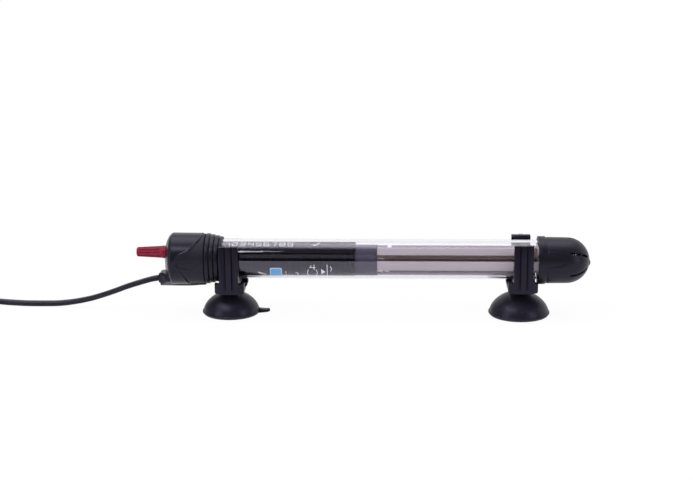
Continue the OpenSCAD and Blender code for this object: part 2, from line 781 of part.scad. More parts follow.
guard_bore = tube_r + guard_fit;
guard_r = guard_bore + guard_wall;
rim_r = guard_r + guard_draft + guard_rim_out;
latch_x = guard_x + guard_rim_len + 2;
latch_len = 7.8;
module guard_cap() {
    color(black) difference() {
        union() {
            along(guard_x, -guard_sag) cylinder(r = rim_r, h = guard_rim_len);
            along(guard_x, -guard_sag) cylinder(r1 = guard_r + guard_draft, r2 = guard_r, h = guard_len);
            along(dome_x, -guard_sag) sphere(r = guard_r);
            along(dome_x + guard_r + nose_out - nose_r, -guard_sag - nose_drop) sphere(r = nose_r, $fn = 48);
            translate([latch_x, -guard_r - 0.45, axis_z - 2.2]) rotate([0, -5, 0]) cube([latch_len, 1, 0.6]);
            translate([latch_x + latch_len + 1, -guard_r + 0.8, axis_z - 0.8])
                rotate([90, 0, 0]) cylinder(r = 1.3, h = 1.2, $fn = 32);
        }
        along(guard_x - 1, -guard_sag) cylinder(r = guard_bore, h = guard_len + 1);
        along(dome_x, -guard_sag) sphere(r = guard_bore);
        for (i = [0:slot_count - 1])
            translate([dome_x + slot_start, 0, axis_z - guard_sag])
                rotate([90 - slot_angle - i * 360 / slot_count, 0, 0])
                translate([0, 0, tube_r / 4]) linear_extrude(guard_r) slot_outline();
        along(guard_x + guard_rim_len + 0.9, -guard_sag) rotate_extrude()
            translate([guard_r + guard_draft, 0]) square([0.5, 0.5], center = true);
    }
}

module slot_outline() {
    translate([slot_w / 2, -slot_w / 2]) square([slot_len - slot_w, slot_w]);
    for (x = [slot_w / 2, slot_len - slot_w / 2]) translate([x, 0]) circle(d = slot_w, $fn = 32);
}

// Clips ---------------------------------------------------------------------------------------------

saddle_r = tube_r + clip_fit;
clip_out = saddle_r + clip_plate_t;
cavity_top = -saddle_r - web_t;
cavity_low = -clip_depth + keyplate_t;
cavity_w = cup_head_d + 4;
module clip_section() {
    difference() {
        translate([-clip_out, -clip_depth]) square([2 * clip_out, clip_depth + clip_arm_h]);
        circle(r = saddle_r);
        translate([-saddle_r, 0]) square([2 * saddle_r, clip_arm_h + 1]);
        translate([-cavity_w / 2, cavity_low]) square([cavity_w, cavity_top - cavity_low]);
    }
    for (side = [-1, 1]) scale([side, 1]) polygon([[saddle_r + eps, clip_arm_h - 3.4],
        [saddle_r - 0.9, clip_arm_h - 2.2], [saddle_r - 0.9, clip_arm_h - 1], [saddle_r + eps, clip_arm_h]]);
}

module clip(x, drop, lap = 0) {
    seat = cup_neck_d + 2 * cup_fit;
    throat = cup_neck_d * 0.96;
    color(black) translate([x, 0, -drop]) difference() {
        union() {
            across(-clip_arm_w / 2, clip_arm_w) clip_section();
            translate([0, 0, axis_z - clip_depth]) clip_base();
            for (side = [-1, 1]) clip_rib(side, clip_rib_w, clip_out - 0.6, clip_out + clip_rib_out);
        }
        for (side = [-1, 1], groove = [-1, 1])
            translate([groove * (clip_rib_w + clip_groove_w) / 2, 0, 0])
                clip_rib(side, clip_groove_w, clip_out - clip_groove_depth, clip_out + 1);
        translate([seat_shift, 0, axis_z - clip_depth - 1]) {
            for (step = [0, seat_len]) translate([step, 0, 0]) cylinder(d = seat, h = keyplate_t + 2);
            translate([0, -seat / 2, 0]) cube([seat_len, seat, keyplate_t + 2]);
            translate([0, -throat / 2, 0]) cube([clip_base_w, throat, keyplate_t + 2]);
        }
        if (lap > 0) translate([0, 0, drop]) along(-clip_arm_w / 2 - 1)
            cylinder(r = tube_r + rib_end + clip_fit, h = lap + clip_fit + 1);
    }
}

// An upright bar on a side plate, from the base to the plate's top.
module clip_rib(side, w, near, far) {
    low = clip_base_h / 2;
    translate([-w / 2, side < 0 ? -far : near, axis_z - clip_depth + low])
        cube([w, far - near, clip_depth + clip_arm_h - low]);
}

// The base: a bottom plate and two bowed walls, open at both ends.
base_end_r = 12.3;
base_end_z = 9.2;
module clip_base() {
    plan_r = clip_out + 0.1;
    difference() {
        intersection() {
            cylinder(r = plan_r, h = clip_base_h);
            translate([-clip_base_w / 2, -plan_r, 0]) cube([clip_base_w, 2 * plan_r, clip_base_h]);
            translate([0, plan_r, base_end_z]) rotate([90, 0, 0]) cylinder(r = base_end_r, h = 2 * plan_r);
        }
        translate([0, 0, keyplate_t]) cylinder(r = plan_r - clip_plate_t, h = clip_base_h);
    }
}

module clip_left() {
    clip(clip_left_x, left_drop, clip_left_lap);
}

module clip_right() {
    clip(clip_right_x, 0);
}

// Suction cups --------------------------------------------------------------------------------------

// Points of a dome's meridian, from its rim at (r, low) up to its top at (0, high).
function meridian(r, low, high, n = 16) = [for (i = [0:n]) let (a = 90 * i / n)
    [r * pow(cos(a), 2 / cup_fullness), low + (high - low) * pow(sin(a), 2 / cup_fullness)]];

module suction_cup(x, d, h, gap, tab_angle) {
    rim = d / 2;
    foot = rim - cup_bevel;
    inner = meridian(foot - cup_lip_w, 0, h - cup_wall);
    plate_low = h + gap;
    head_low = plate_low + keyplate_t + cup_fit / 3;
    color(rubber) translate([x, 0, 0]) {
        difference() {
            union() {
                rotate_extrude() polygon(concat(meridian(rim, cup_lip_h, h), [[0, 0], [foot, 0]]));
                rotate([0, 0, tab_angle]) pull_tab(foot - cup_lip_w / 2);
            }
            rotate_extrude() polygon(concat([[foot - cup_lip_w, -1]], inner, [[0, -1]]));
        }
        translate([0, 0, h - 1]) cylinder(d = cup_neck_d, h = head_low - h + 1 + eps);
        translate([0, 0, head_low]) cylinder(d1 = cup_head_d, d2 = cup_head_d - 2, h = cup_head_h);
    }
}

// A flat tab with a round end that starts inside the rim.
module pull_tab(start) {
    reach = cup_bevel + cup_lip_w / 2 + tab_len;
    translate([start, 0, cup_lip_h + 0.2]) rotate([0, -tab_lift, 0]) {
        translate([0, -tab_w / 2, 0]) cube([reach - tab_w / 2, tab_w, tab_t]);
        translate([reach - tab_w / 2, 0, 0]) cylinder(d = tab_w, h = tab_t, $fn = 48);
    }
}

module suction_cup_left() {
    suction_cup(clip_left_x + seat_shift + seat_len, cup_left_d, cup_left_h, cup_left_gap, 0);
}

module suction_cup_right() {
    suction_cup(clip_right_x + seat_shift, cup_right_d, cup_right_h, cup_right_gap, 56);
}

// Cord ----------------------------------------------------------------------------------------------

// Route of the cord from the gland to its hank: along the surface once it has come down.
route = [[-124, 0, 21.7], [-128.5, 0, 20.9], [-136, 1, 18.5], [-144, 2.4, 15.6], [-152, 4.2, 12.2],
    [-160, 6.2, 9], [-168, 8, 6.2], [-176, 9.5, 4.1], [-184, 10.6, 2.6], [-192, 11, 1.9],
    [-206, 11.4, 1.7], [-214, 12.2, 1.7], [-226, 14.4, 1.8], [-236, 17.6, 2.4], [-246, 20.8, 3.2],
    [-254, 22.4, 3.6], [-262, 22.6, 3.6]];
// Route from the hank down to the plug.
tail_route = [[-352, 22.6, 21.6], [-362, 22.6, 21.6], [-370, 21.5, 20.6], [-378, 18.5, 17.9],
    [-384, 14.7, 14.6], [-390, 10.6, 11], [-398, 7.1, 7.8], [-406, 6, 6.9], [-412, 6, 6.85]];

// A smooth curve through a list of points, with n pieces in each step.
function curve(p, n) = concat([for (i = [0:len(p) - 2], j = [0:n - 1]) let (
        t = j / n,
        a = p[max(i - 1, 0)],
        b = p[i],
        c = p[i + 1],
        d = p[min(i + 2, len(p) - 1)])
    0.5 * (2 * b + (c - a) * t + (2 * a - 5 * b + 4 * c - d) * t * t + (3 * b - a - 3 * c + d) * t * t * t)],
    [p[len(p) - 1]]);
function unit(v) = v / norm(v);
function heading(p, i) = unit(p[min(i + 1, len(p) - 1)] - p[max(i - 1, 0)]);

// One oval ring of the cord at a point: roll 0 lays its width flat, 90 stands it on edge.
function cord_ring(c, dir, roll, sides) = let (
        side = unit(cross([0, 0, 1], dir)),
        up = cross(dir, side))
    [for (k = [0:sides - 1]) let (
            a = 360 * (k + 0.5) / sides,
            u = cord_w / 2 * cos(a),
            v = cord_t / 2 * sin(a) / cos(180 / sides))
        c + side * (u * cos(roll) - v * sin(roll)) + up * (u * sin(roll) + v * cos(roll))];

// A closed triangulated tube through a list of rings.
module tube_through(rings) {
    n = len(rings[0]);
    m = len(rings);
    polyhedron(points = [for (r = rings) for (p = r) p], faces = concat(
        [for (i = [0:m - 2], k = [0:n - 1]) [i * n + k, i * n + (k + 1) % n, (i + 1) * n + k]],
        [for (i = [0:m - 2], k = [0:n - 1])
            [i * n + (k + 1) % n, (i + 1) * n + (k + 1) % n, (i + 1) * n + k]],
        [for (k = [1:n - 2]) [0, k + 1, k]],
        [for (k = [1:n - 2]) [(m - 1) * n, (m - 1) * n + k, (m - 1) * n + k + 1]]));
}

cord_sides = 10;
function smooth(t) = let (s = min(1, max(0, t))) s * s * (3 - 2 * s);
module mains_cord() {
    path = curve(route, 2);
    last = len(path) - 1;
    color(rubber) tube_through([for (i = [0:last]) let (
            dir = i == 0 || i == last ? [-1, 0, 0] : heading(path, i),
            roll = 90 * smooth((-222 - path[i][0]) / 34))
        cord_ring(path[i], dir, roll, cord_sides)]);
}

module plug_lead() {
    path = curve(tail_route, 2);
    last = len(path) - 1;
    color(rubber) tube_through([for (i = [0:last]) let (
            dir = i == 0 || i == last ? [-1, 0, 0] : heading(path, i))
        cord_ring(path[i], dir, 90, cord_sides)]);
}

// Hank: the cord stands on edge and winds in a long loop whose two runs are drawn in at the waist.
// It spirals in and out by turns, one layer above the other, and ends on the run where it began.
hank_right = -262;
hank_run = 90;
hank_y = 1;
hank_low = 3.6;
fold_out = 21.6;
fold_in = 15.6;
waist = 5;
hank_layers = 4;
layer_h = 6;
loop_rings = 24;
run_part = 0.5 * hank_run / (hank_run + PI * (fold_out + fold_in) / 2);
hank_turns = hank_layers + run_part;
layer_turns = hank_turns / hank_layers;
climb = 0.5;
function layer_of(s) = min(hank_layers - 1, floor(s / layer_turns));
function fold_r(s) = let (layer = layer_of(s), u = s / layer_turns - layer)
    fold_out - (fold_out - fold_in) * (layer % 2 == 0 ? u : 1 - u);
function rise(s, i) = i < 1 ? 0
    : rise(s, i - 1) + smooth((s - i * layer_turns) / climb + 0.5);
function pinch(t) = waist * (1 - cos(360 * t)) / 2;
function hank_at(s) = let (
        phase = s - floor(s),
        r = fold_r(s),
        back = phase >= 0.5,
        p = back ? phase - 0.5 : phase,
        dir = back ? -1 : 1,
        z = hank_low + layer_h * rise(s, hank_layers - 1),
        end_x = back ? hank_right : hank_right - hank_run,
        t = p / run_part,
        a = 90 + 180 * (p - run_part) / (0.5 - run_part))
    p <= run_part
        ? [end_x + dir * hank_run * (1 - t), hank_y + dir * (r - pinch(t)), z]
        : [end_x + dir * r * cos(a), hank_y + dir * r * sin(a), z];
hank_count = round(loop_rings * hank_turns);
hank_path = [for (i = [0:hank_count]) hank_at(i * hank_turns / hank_count)];
function hank_dir(i) = i == 0 || i == hank_count ? [-1, 0, 0] : heading(hank_path, i);

// Least gap between two turns: at each ring, the free space beside or above the rings one turn on.
function gap_between(i, j) = let (
        d = hank_path[j] - hank_path[i],
        dir = hank_dir(i),
        side = unit(cross([0, 0, 1], dir)))
    norm([max(0, abs(d * side) - cord_t), max(0, abs(d[2]) - cord_w), max(0, abs(d * dir) - 4)]);
hank_gap = min([for (i = [0:hank_count], j = [i + 12:hank_count]) gap_between(i, j)]);
echo("least gap between the hank's turns, mm", hank_gap);
function path_len(p) = len(p) < 2 ? 0 : [for (i = [1:len(p) - 1]) norm(p[i] - p[i - 1])]
    * [for (i = [1:len(p) - 1]) 1];
echo("length of the cord, mm", path_len(curve(route, 4)) + path_len(hank_path)
    + path_len(curve(tail_route, 4)));

module cord_hank() {
    color(rubber) tube_through([for (i = [0:hank_count])
        cord_ring(hank_path[i], hank_dir(i), 90, 6)]);
}

// The tie lies flat under the hank and closes round its waist.
tie_t = 0.7;
module tie_outline(grow) {
    w = fold_out - waist + cord_t / 2 + 0.3 + grow;
    low = hank_low - cord_w / 2 - 0.3 - grow;
    high = hank_low + (hank_layers - 1) * layer_h + cord_w / 2 + 0.3 + grow;
    corner = 2 + grow;
    for (y = [-w + corner, w - corner], z = [low + corner, high - corner])
        translate([y, z]) circle(r = corner, $fn = 32);
    translate([-w + corner, low]) square([2 * (w - corner), high - low]);
    translate([-w, low + corner]) square([2 * w, high - low - 2 * corner]);
}

module cord_tie() {
    color([0.15, 0.15, 0.16]) translate([hank_right - hank_run / 2 - tie_w / 2, hank_y, 0])
        rotate([90, 0, 90]) linear_extrude(tie_w) difference() {
            tie_outline(tie_t);
            tie_outline(0);
        }
}

// Plug: a flat two-pin body that widens from the cord to the pins.
plug_end = tail_route[len(tail_route) - 1];
plug_relief = 9;
pin_root = 8;
pin_root_d = pin_d + 0.8;
module plug_body() {
    half = plug_w / 2;
    neck = 5.5;
    color(rubber) translate([plug_end[0], plug_end[1], 0]) difference() {
        union() {
            linear_extrude(plug_t) polygon([[-plug_relief, neck], [-plug_relief - 5, neck + 1.5],
                [-plug_relief - 13, half - 3], [-plug_relief - 17, half], [-plug_len + 1, half],
                [-plug_len, half - 1], [-plug_len, -half + 1], [-plug_len + 1, -half],
                [-plug_relief - 17, -half], [-plug_relief - 13, -half + 3], [-plug_relief - 5, -neck - 1.5],
                [-plug_relief, -neck]]);
            translate([-plug_relief - 1, 0, plug_end[2]]) rotate([0, 90, 0])
                cylinder(d1 = plug_t - 2.4, d2 = cord_w + 2.6, h = plug_relief + 1);
        }
        for (i = [0:2]) translate([-2.2 - 2.6 * i, 0, plug_end[2]]) rotate([0, 90, 0]) rotate_extrude()
            translate([(cord_w + 2.6) / 2 + 0.15 + 0.3 * i, -0.5]) square([3, 1]);
        for (side = [-1, 1]) pin_place(side)
            translate([0, 0, -fit]) cylinder(d = pin_root_d + 2 * fit, h = pin_root + 1);
    }
}

module pin_place(side) {
    translate([-plug_len + pin_root, side * pin_pitch / 2, plug_end[2]]) rotate([0, -90, 0]) children();
}

module plug_pins() {
    color([0.8, 0.72, 0.5]) translate([plug_end[0], plug_end[1], 0]) for (side = [-1, 1])
        pin_place(side) {
            cylinder(d = pin_root_d, h = pin_root);
            cylinder(d = pin_d, h = pin_root + pin_len - pin_d / 2);
            translate([0, 0, pin_root + pin_len - pin_d / 2]) sphere(d = pin_d, $fn = 32);
        }
}

glass_tube();
head_shell();
seal_collar();
tube_bung();
knob();
knob_spindle();
spindle_seal();
cable_gland();
cord_end();
supply_leads();
thermostat_frame();
adjust_slider();
bimetal_strip();
contact_arm();
moving_contact();
fixed_contact();
magnet();
suppressor();
sleeve();
element_holder();
ceramic_core();
heating_wire();
terminal_crimps();
element_leads();
end_cushion();
guard_cap();
clip_left();
clip_right();
suction_cup_left();
suction_cup_right();
mains_cord();
cord_hank();
cord_tie();
plug_lead();
plug_body();
plug_pins();
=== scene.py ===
"""Looks of a submersible aquarium heater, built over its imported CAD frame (Blender 4.5).

Lengths are written in millimetres and turned into metres by MM. X runs along the glass tube, Y to
the back, Z up; the suction cups stand on z = 0 and the tube's axis is at z = AXIS_Z.
"""
import math

import bmesh
import bpy
import numpy as np
from mathutils import Matrix, Vector


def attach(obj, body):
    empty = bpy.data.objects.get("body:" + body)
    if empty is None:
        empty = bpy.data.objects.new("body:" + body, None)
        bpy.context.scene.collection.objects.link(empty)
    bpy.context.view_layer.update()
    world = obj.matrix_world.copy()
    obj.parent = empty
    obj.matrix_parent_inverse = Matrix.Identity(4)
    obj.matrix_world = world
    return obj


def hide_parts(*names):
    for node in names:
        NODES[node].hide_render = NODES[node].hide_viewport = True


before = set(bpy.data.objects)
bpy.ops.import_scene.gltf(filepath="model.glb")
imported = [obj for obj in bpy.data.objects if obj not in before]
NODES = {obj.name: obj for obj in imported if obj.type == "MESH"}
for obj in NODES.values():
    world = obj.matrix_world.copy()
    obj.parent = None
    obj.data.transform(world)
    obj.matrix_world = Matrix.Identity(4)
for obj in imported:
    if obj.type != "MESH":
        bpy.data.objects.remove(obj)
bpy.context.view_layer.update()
MM = 0.001
TAU = 2 * math.pi
AXIS_Z = 34.0

HEAD_X, HEAD_END, HEAD_R, HEAD_END_R = -119.8, -94.9, 15.6, 15.4
STEP_DEPTH = 0.45
KNOB_TIP, KNOB_BASE, KNOB_RISE = -136.9, -117.1, 3.9
KNOB_TIP_R, KNOB_R = 2.95, 3.8
TUBE_X, DOME_X, TUBE_R, BORE_R = -104.0, 121.5, 12.0, 10.5


# ------------------------------------------------------------------ camera

def look_at(location, target, roll_deg):
    """Camera matrix: the view runs from location to target, turned by roll_deg about itself."""
    location, target = Vector(location), Vector(target)
    forward = (target - location).normalized()
    right = forward.cross(Vector((0, 0, 1))).normalized()
    up = right.cross(forward)
    c, s = math.cos(math.radians(roll_deg)), math.sin(math.radians(roll_deg))
    turned, upright = right * c + up * s, up * c - right * s
    matrix = Matrix((turned, upright, -forward)).transposed().to_4x4()
    matrix.translation = location
    return matrix


camera_data = bpy.data.cameras.new("camera")
camera_data.lens = 75.37
camera_data.sensor_width = 36.0
camera_data.clip_end = 20.0
camera = bpy.data.objects.new("camera", camera_data)
bpy.context.scene.collection.objects.link(camera)
camera.matrix_world = look_at((0.0277, -0.8441, 0.2552), (-0.00997, 0.0, 0.04565), -0.42)
bpy.context.scene.camera = camera


# ------------------------------------------------------------------ mesh helpers

def new_piece(name, points, faces, smooth=True):
    """A mesh object at the origin from points in millimetres and faces that point outwards."""
    mesh = bpy.data.meshes.new(name)
    mesh.from_pydata((np.asarray(points, float) * MM).tolist(), [], faces)
    mesh.validate()
    if smooth:
        mesh.shade_smooth()
    piece = bpy.data.objects.new(name, mesh)
    bpy.context.scene.collection.objects.link(piece)
    return piece


def tube_skin(rings, caps=True):
    """Points and outward faces of a tube through rings[m, n, 3]: quads join neighbouring rings and
    caps close both ends. The faces are turned over where six times the volume that they hold, the
    sum of p . (q x r) over their triangles, is negative."""
    rings = np.asarray(rings, float)
    m, n = rings.shape[:2]
    index = np.arange(m * n).reshape(m, n)
    a, b = index[:-1], index[1:]
    quads = np.stack([a, np.roll(a, -1, 1), np.roll(b, -1, 1), b], -1).reshape(-1, 4)
    ends = [index[0][::-1], index[-1]] if caps else []
    fans = [quads[:, [0, 1, 2]], quads[:, [0, 2, 3]]]
    fans += [np.stack([np.full(n - 2, end[0]), end[1:-1], end[2:]], -1) for end in ends]
    points = rings.reshape(-1, 3)
    p, q, r = (points - points.mean(0))[np.concatenate(fans)].transpose(1, 0, 2)
    faces = quads.tolist() + [end.tolist() for end in ends]
    if (p * np.cross(q, r)).sum() < 0:
        faces = [face[::-1] for face in faces]
    return points, faces


def grid_piece(name, rings, caps=True, smooth=True):
    """A piece whose skin is one tube of rings."""
    return new_piece(name, *tube_skin(rings, caps), smooth)


def circle_ring(x, radius, angle, y=0.0, z=AXIS_Z):
    """One ring about a line along X. The radius may change with the angle."""
    across, rise = y + radius * np.cos(angle), z + radius * np.sin(angle)
    return np.stack([np.full_like(angle, x), across, rise], -1)


def revolve(profile, axis, centre, sides):
    """Rings of a turned form: profile[k] = (place along the axis, radius), turned about X or Z."""
    profile = np.asarray(profile, float)
    angle = np.arange(sides) * TAU / sides
    along = np.repeat(profile[:, :1], sides, 1)
    c, s = profile[:, 1:] * np.cos(angle), profile[:, 1:] * np.sin(angle)
    if axis == "X":
        return np.stack([along, centre[0] + c, centre[1] + s], -1)
    return np.stack([centre[0] + c, centre[1] + s, along], -1)


def arc(centre, radius, start, end, n):
    """n + 1 points on a circle from start to end degrees, as (place, radius) pairs."""
    a = np.radians(np.linspace(start, end, n + 1))
    return [(centre[0] + radius * math.cos(t), centre[1] + radius * math.sin(t)) for t in a]


def catmull(points, n):
    """A smooth curve through the points, n pieces a step: the Catmull-Rom cubic of each four."""
    p = np.asarray(points, float)
    p = np.vstack([p[:1], p, p[-1:]])
    t = (np.arange(n) / n)[:, None]
    out = []
    for a, b, c, d in zip(p[:-3], p[1:-2], p[2:-1], p[3:]):
        out.append(0.5 * (2 * b + (c - a) * t + (2 * a - 5 * b + 4 * c - d) * t ** 2
                          + (3 * b - a - 3 * c + d) * t ** 3))
    return np.vstack(out + [p[-1:]])


def headings(path):
    """Unit direction at each point of a path, from its neighbours on both sides."""
    path = np.asarray(path, float)
    step = np.vstack([path[1:2] - path[:1], path[2:] - path[:-2], path[-1:] - path[-2:-1]])
    return step / np.linalg.norm(step, axis=1)[:, None]


def smooth01(t):
    """0 below 0, 1 above 1, and 3t^2 - 2t^3 between."""
    t = np.clip(t, 0, 1)
    return t * t * (3 - 2 * t)


# ------------------------------------------------------------------ cord

CORD_W, CORD_T = 5.2, 3.3
CORD_ROUTE = [(-124, 0, 21.7), (-128.5, 0, 20.9), (-136, 1, 18.5), (-144, 2.4, 15.6), (-152, 4.2, 12.2),
              (-160, 6.2, 9), (-168, 8, 6.2), (-176, 9.5, 4.1), (-184, 10.6, 2.6), (-192, 11, 1.9),
              (-206, 11.4, 1.7), (-214, 12.2, 1.7), (-226, 14.4, 1.8), (-236, 17.6, 2.4),
              (-246, 20.8, 3.2), (-254, 22.4, 3.6), (-262, 22.6, 3.6)]
TAIL_ROUTE = [(-352, 22.6, 21.6), (-362, 22.6, 21.6), (-370, 21.5, 20.6), (-378, 18.5, 17.9),
              (-384, 14.7, 14.6), (-390, 10.6, 11), (-398, 7.1, 7.8), (-406, 6, 6.9), (-412, 6, 6.85)]
HANK = {"right": -262.0, "run": 90.0, "y": 1.0, "low": 3.6, "out": 21.6, "in": 15.6, "waist": 5.0,
        "layers": 4, "layer_h": 6.0, "climb": 0.5}


def hank_points(per_turn):
    """The hank's centreline: s counts the turns of a long loop with half circles of radius r at its
    ends. r swings between out and in once a layer, both runs are pinched by a raised cosine, and
    each layer climbs by layer_h through a smoothstep centred on the swing's end."""
    h = HANK
    part = 0.5 * h["run"] / (h["run"] + math.pi * (h["out"] + h["in"]) / 2)
    turns = h["layers"] + part
    per_layer = turns / h["layers"]
    s = np.linspace(0, turns, int(round(per_turn * turns)) + 1)
    layer = np.minimum(h["layers"] - 1, (s / per_layer).astype(int))
    u = s / per_layer - layer
    r = h["out"] - (h["out"] - h["in"]) * np.where(layer % 2 == 0, u, 1 - u)
    climbed = sum(smooth01((s - i * per_layer) / h["climb"] + 0.5) for i in range(1, h["layers"]))
    phase = s - np.floor(s)
    back = phase >= 0.5
    p, way = np.where(back, phase - 0.5, phase), np.where(back, -1, 1)
    end_x = np.where(back, h["right"], h["right"] - h["run"])
    t = np.minimum(p / part, 1)
    a = np.radians(90 + 180 * np.maximum(p - part, 0) / (0.5 - part))
    on_run = p <= part
    x = end_x + way * np.where(on_run, h["run"] * (1 - t), r * np.cos(a))
    y = h["y"] + way * np.where(on_run, r - h["waist"] * (1 - np.cos(TAU * t)) / 2, r * np.sin(a))
    return np.stack([x, y, h["low"] + h["layer_h"] * climbed], -1)


def flat_cord(name, path, roll, sides=28, squareness=2.6, dip=0.05, dip_w=0.55):
    """A flat lead along a path: its section is the rounded oblong |u/a|^q + |v/b|^q = 1, q its
    squareness, with a shallow dip along both broad sides, turned about the heading by roll (90
    stands it on edge)."""
    path = np.asarray(path, float)
    ahead = headings(path)
    side = np.cross([0.0, 0.0, 1.0], ahead)
    side /= np.linalg.norm(side, axis=1)[:, None]
    up = np.cross(ahead, side)
    a = np.arange(sides) * TAU / sides
    c, s = np.cos(a), np.sin(a)
    u = CORD_W / 2 * np.sign(c) * np.abs(c) ** (2 / squareness)
    v = CORD_T / 2 * np.sign(s) * np.abs(s) ** (2 / squareness)
    v = v * (1 - dip * np.exp(-(u / dip_w) ** 2))
    cr, sr = np.cos(np.radians(roll))[:, None], np.sin(np.radians(roll))[:, None]
    across, rise = u * cr - v * sr, u * sr + v * cr
    rings = path[:, None] + side[:, None] * across[..., None] + up[:, None] * rise[..., None]
    return grid_piece(name, rings)


lead_in = catmull(CORD_ROUTE, 6)
hank_path = hank_points(96)
lead_out = catmull(TAIL_ROUTE, 6)
cord_path = np.vstack([lead_in, hank_path[1:], lead_out[1:]])
TWIST_X, TWIST_LENGTH = -222.0, 34.0
cord_roll = 90 * smooth01((TWIST_X - cord_path[:, 0]) / TWIST_LENGTH)
cord_roll[len(lead_in):] = 90
mains_lead = flat_cord("mains_lead", cord_path, cord_roll)
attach(mains_lead, "heater")
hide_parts("mains_cord", "cord_hank", "plug_lead")


# ------------------------------------------------------------------ materials

BLACK_SPECULAR = 0.3
PLAIN, VIOLET, GLASS_TINT = (1.0, 1.0, 1.0, 1.0), (0.72, 0.67, 1.0, 1.0), (0.9, 0.86, 1.0, 1.0)


def linear(code):
    """Linear RGBA from an sRGB hex colour: c/12.92 below 0.04045, else ((c + 0.055)/1.055)^2.4."""
    rgb = [int(code[i:i + 2], 16) / 255 for i in (0, 2, 4)]
    return [c / 12.92 if c <= 0.04045 else ((c + 0.055) / 1.055) ** 2.4 for c in rgb] + [1.0]


def add_node(tree, kind, inputs=(), out=0, **settings):
    """Adds a node to a tree with its settings. inputs are values in the sockets' order, or a dict by
    a socket's name or number. Each is a number, a vector, a hex colour or an output to link."""
    made = tree.nodes.new("ShaderNode" + kind)
    for key, value in settings.items():
        setattr(made, key, value)
    for key, value in (inputs if isinstance(inputs, dict) else dict(enumerate(inputs))).items():
        if isinstance(value, bpy.types.NodeSocket):
            tree.links.new(value, made.inputs[key])
        else:
            made.inputs[key].default_value = linear(value) if isinstance(value, str) else value
    return made.outputs[out]


class Finish:
    """A piece's surface under construction. Its patterns are placed by Object coordinates in mm."""

    def __init__(self, name, **constants):
        self.material = bpy.data.materials.new(name)
        self.material.use_nodes = True
        self.tree = self.material.node_tree
        self.surface = self.tree.nodes["Principled BSDF"]
        for key, value in constants.items():
            self.surface.inputs[key.replace("_", " ")].default_value = value
        where = self.add("TexCoord", out="Object")
        self.place = self.add("VectorMath", {0: where, "Scale": 1 / MM}, operation="SCALE")

    def add(self, kind, inputs=(), out=0, **settings):
        return add_node(self.tree, kind, inputs, out, **settings)

    def mottle(self, size, detail=3.0, stretch=(1, 1, 1), rough=0.5):
        """A noise pattern from 0 to 1 with features about size mm across, stretched along the axes."""
        place = self.add("Mapping", {"Vector": self.place, "Scale": [1 / (size * s) for s in stretch]})
        return self.add("TexNoise", {"Vector": place, "Scale": 1.0, "Detail": detail, "Roughness": rough},
                        "Fac")

    def two_tone(self, pattern, dark, light):
        """Colour that goes from dark to light as the pattern goes from 0 to 1."""
        return self.add("Mix", {0: pattern, 6: dark, 7: light}, 2, data_type="RGBA")

    def from_line(self, z):
        """Distance in mm from the line along X at y = 0 and this height."""
        flat = self.add("VectorMath", (self.place, (0.0, 1.0, 1.0)), operation="MULTIPLY")
        return self.add("VectorMath", (flat, (0.0, 0.0, z)), "Value", operation="DISTANCE")

    def done(self, colour, rough=None, height=None, depth=0.0):
        """Links the colour, the roughness and a relief whose heights from 0 to 1 stand depth mm high."""
        self.tree.links.new(colour, self.surface.inputs["Base Color"])
        if rough is not None:
            self.tree.links.new(rough, self.surface.inputs["Roughness"])
        if height is not None:
            relief = self.add("Bump", {"Height": height, "Distance": depth * MM, "Strength": 1.0})
            self.tree.links.new(relief, self.surface.inputs["Normal"])
        return self.material

    def over(self, share, other):
        """Puts another surface over this one where share is 1."""
        both = self.add("MixShader", (share, self.surface.outputs[0], other))
        self.tree.links.new(both, self.tree.nodes["Material Output"].inputs["Surface"])


def moulded(name, dark, light, rough, grain=0.35, depth=0.012, dust=0.1, specular=0.5, tint=PLAIN,
            sway=0.04):
    """Injection-moulded plastic: a slight flow mottle, a fine spark-eroded grain and a little dust."""
    s = Finish(name, Specular_IOR_Level=specular, Specular_Tint=tint)
    flow, grains = s.mottle(9.0, 2.0, (1.6, 1, 1)), s.mottle(grain)
    dusty = s.add("MapRange", (s.mottle(1.3, 4.0, rough=0.7), 0.6, 0.8, 0.0, dust))
    gloss = s.add("MapRange", (flow, 0.3, 0.7, rough - sway, rough + sway))
    gloss = s.add("Math", (grains, sway, gloss), operation="MULTIPLY_ADD")
    return s.done(s.two_tone(dusty, s.two_tone(flow, dark, light), "5c5a58"), gloss, grains, depth)


def black_moulded(name, rough, dark="121116", light="17161b"):
    return moulded(name, dark, light, rough, specular=BLACK_SPECULAR, tint=VIOLET)


def soft_rubber(name, rough, dark="121116", light="17161b"):
    """Vulcanised or plasticised rubber: a smooth skin with a faint orange peel and a dusty bloom."""
    s = Finish(name, Specular_IOR_Level=BLACK_SPECULAR, Specular_Tint=VIOLET)
    dusty = s.mottle(3.5, 5.0, rough=0.65)
    bloom = s.add("MapRange", (dusty, 0.55, 0.8, 0.0, 0.1))
    gloss = s.add("MapRange", (dusty, 0.55, 0.8, rough, rough + 0.08))
    colour = s.two_tone(bloom, s.two_tone(s.mottle(14.0, 1.0), dark, light), "4a4a4e")
    return s.done(colour, gloss, s.mottle(0.9, 2.0), 0.006)


def metal(name, dark, light, rough, stretch=(14, 1, 1)):
    """Drawn or stamped metal: fine lines along the stretch axis and a faint tarnish."""
    s = Finish(name, Metallic=1.0)
    lines = s.mottle(0.12, 2.0, stretch)
    gloss = s.add("MapRange", (lines, 0.3, 0.7, rough - 0.06, rough + 0.1))
    return s.done(s.two_tone(s.mottle(2.2), dark, light), gloss, lines, 0.004)


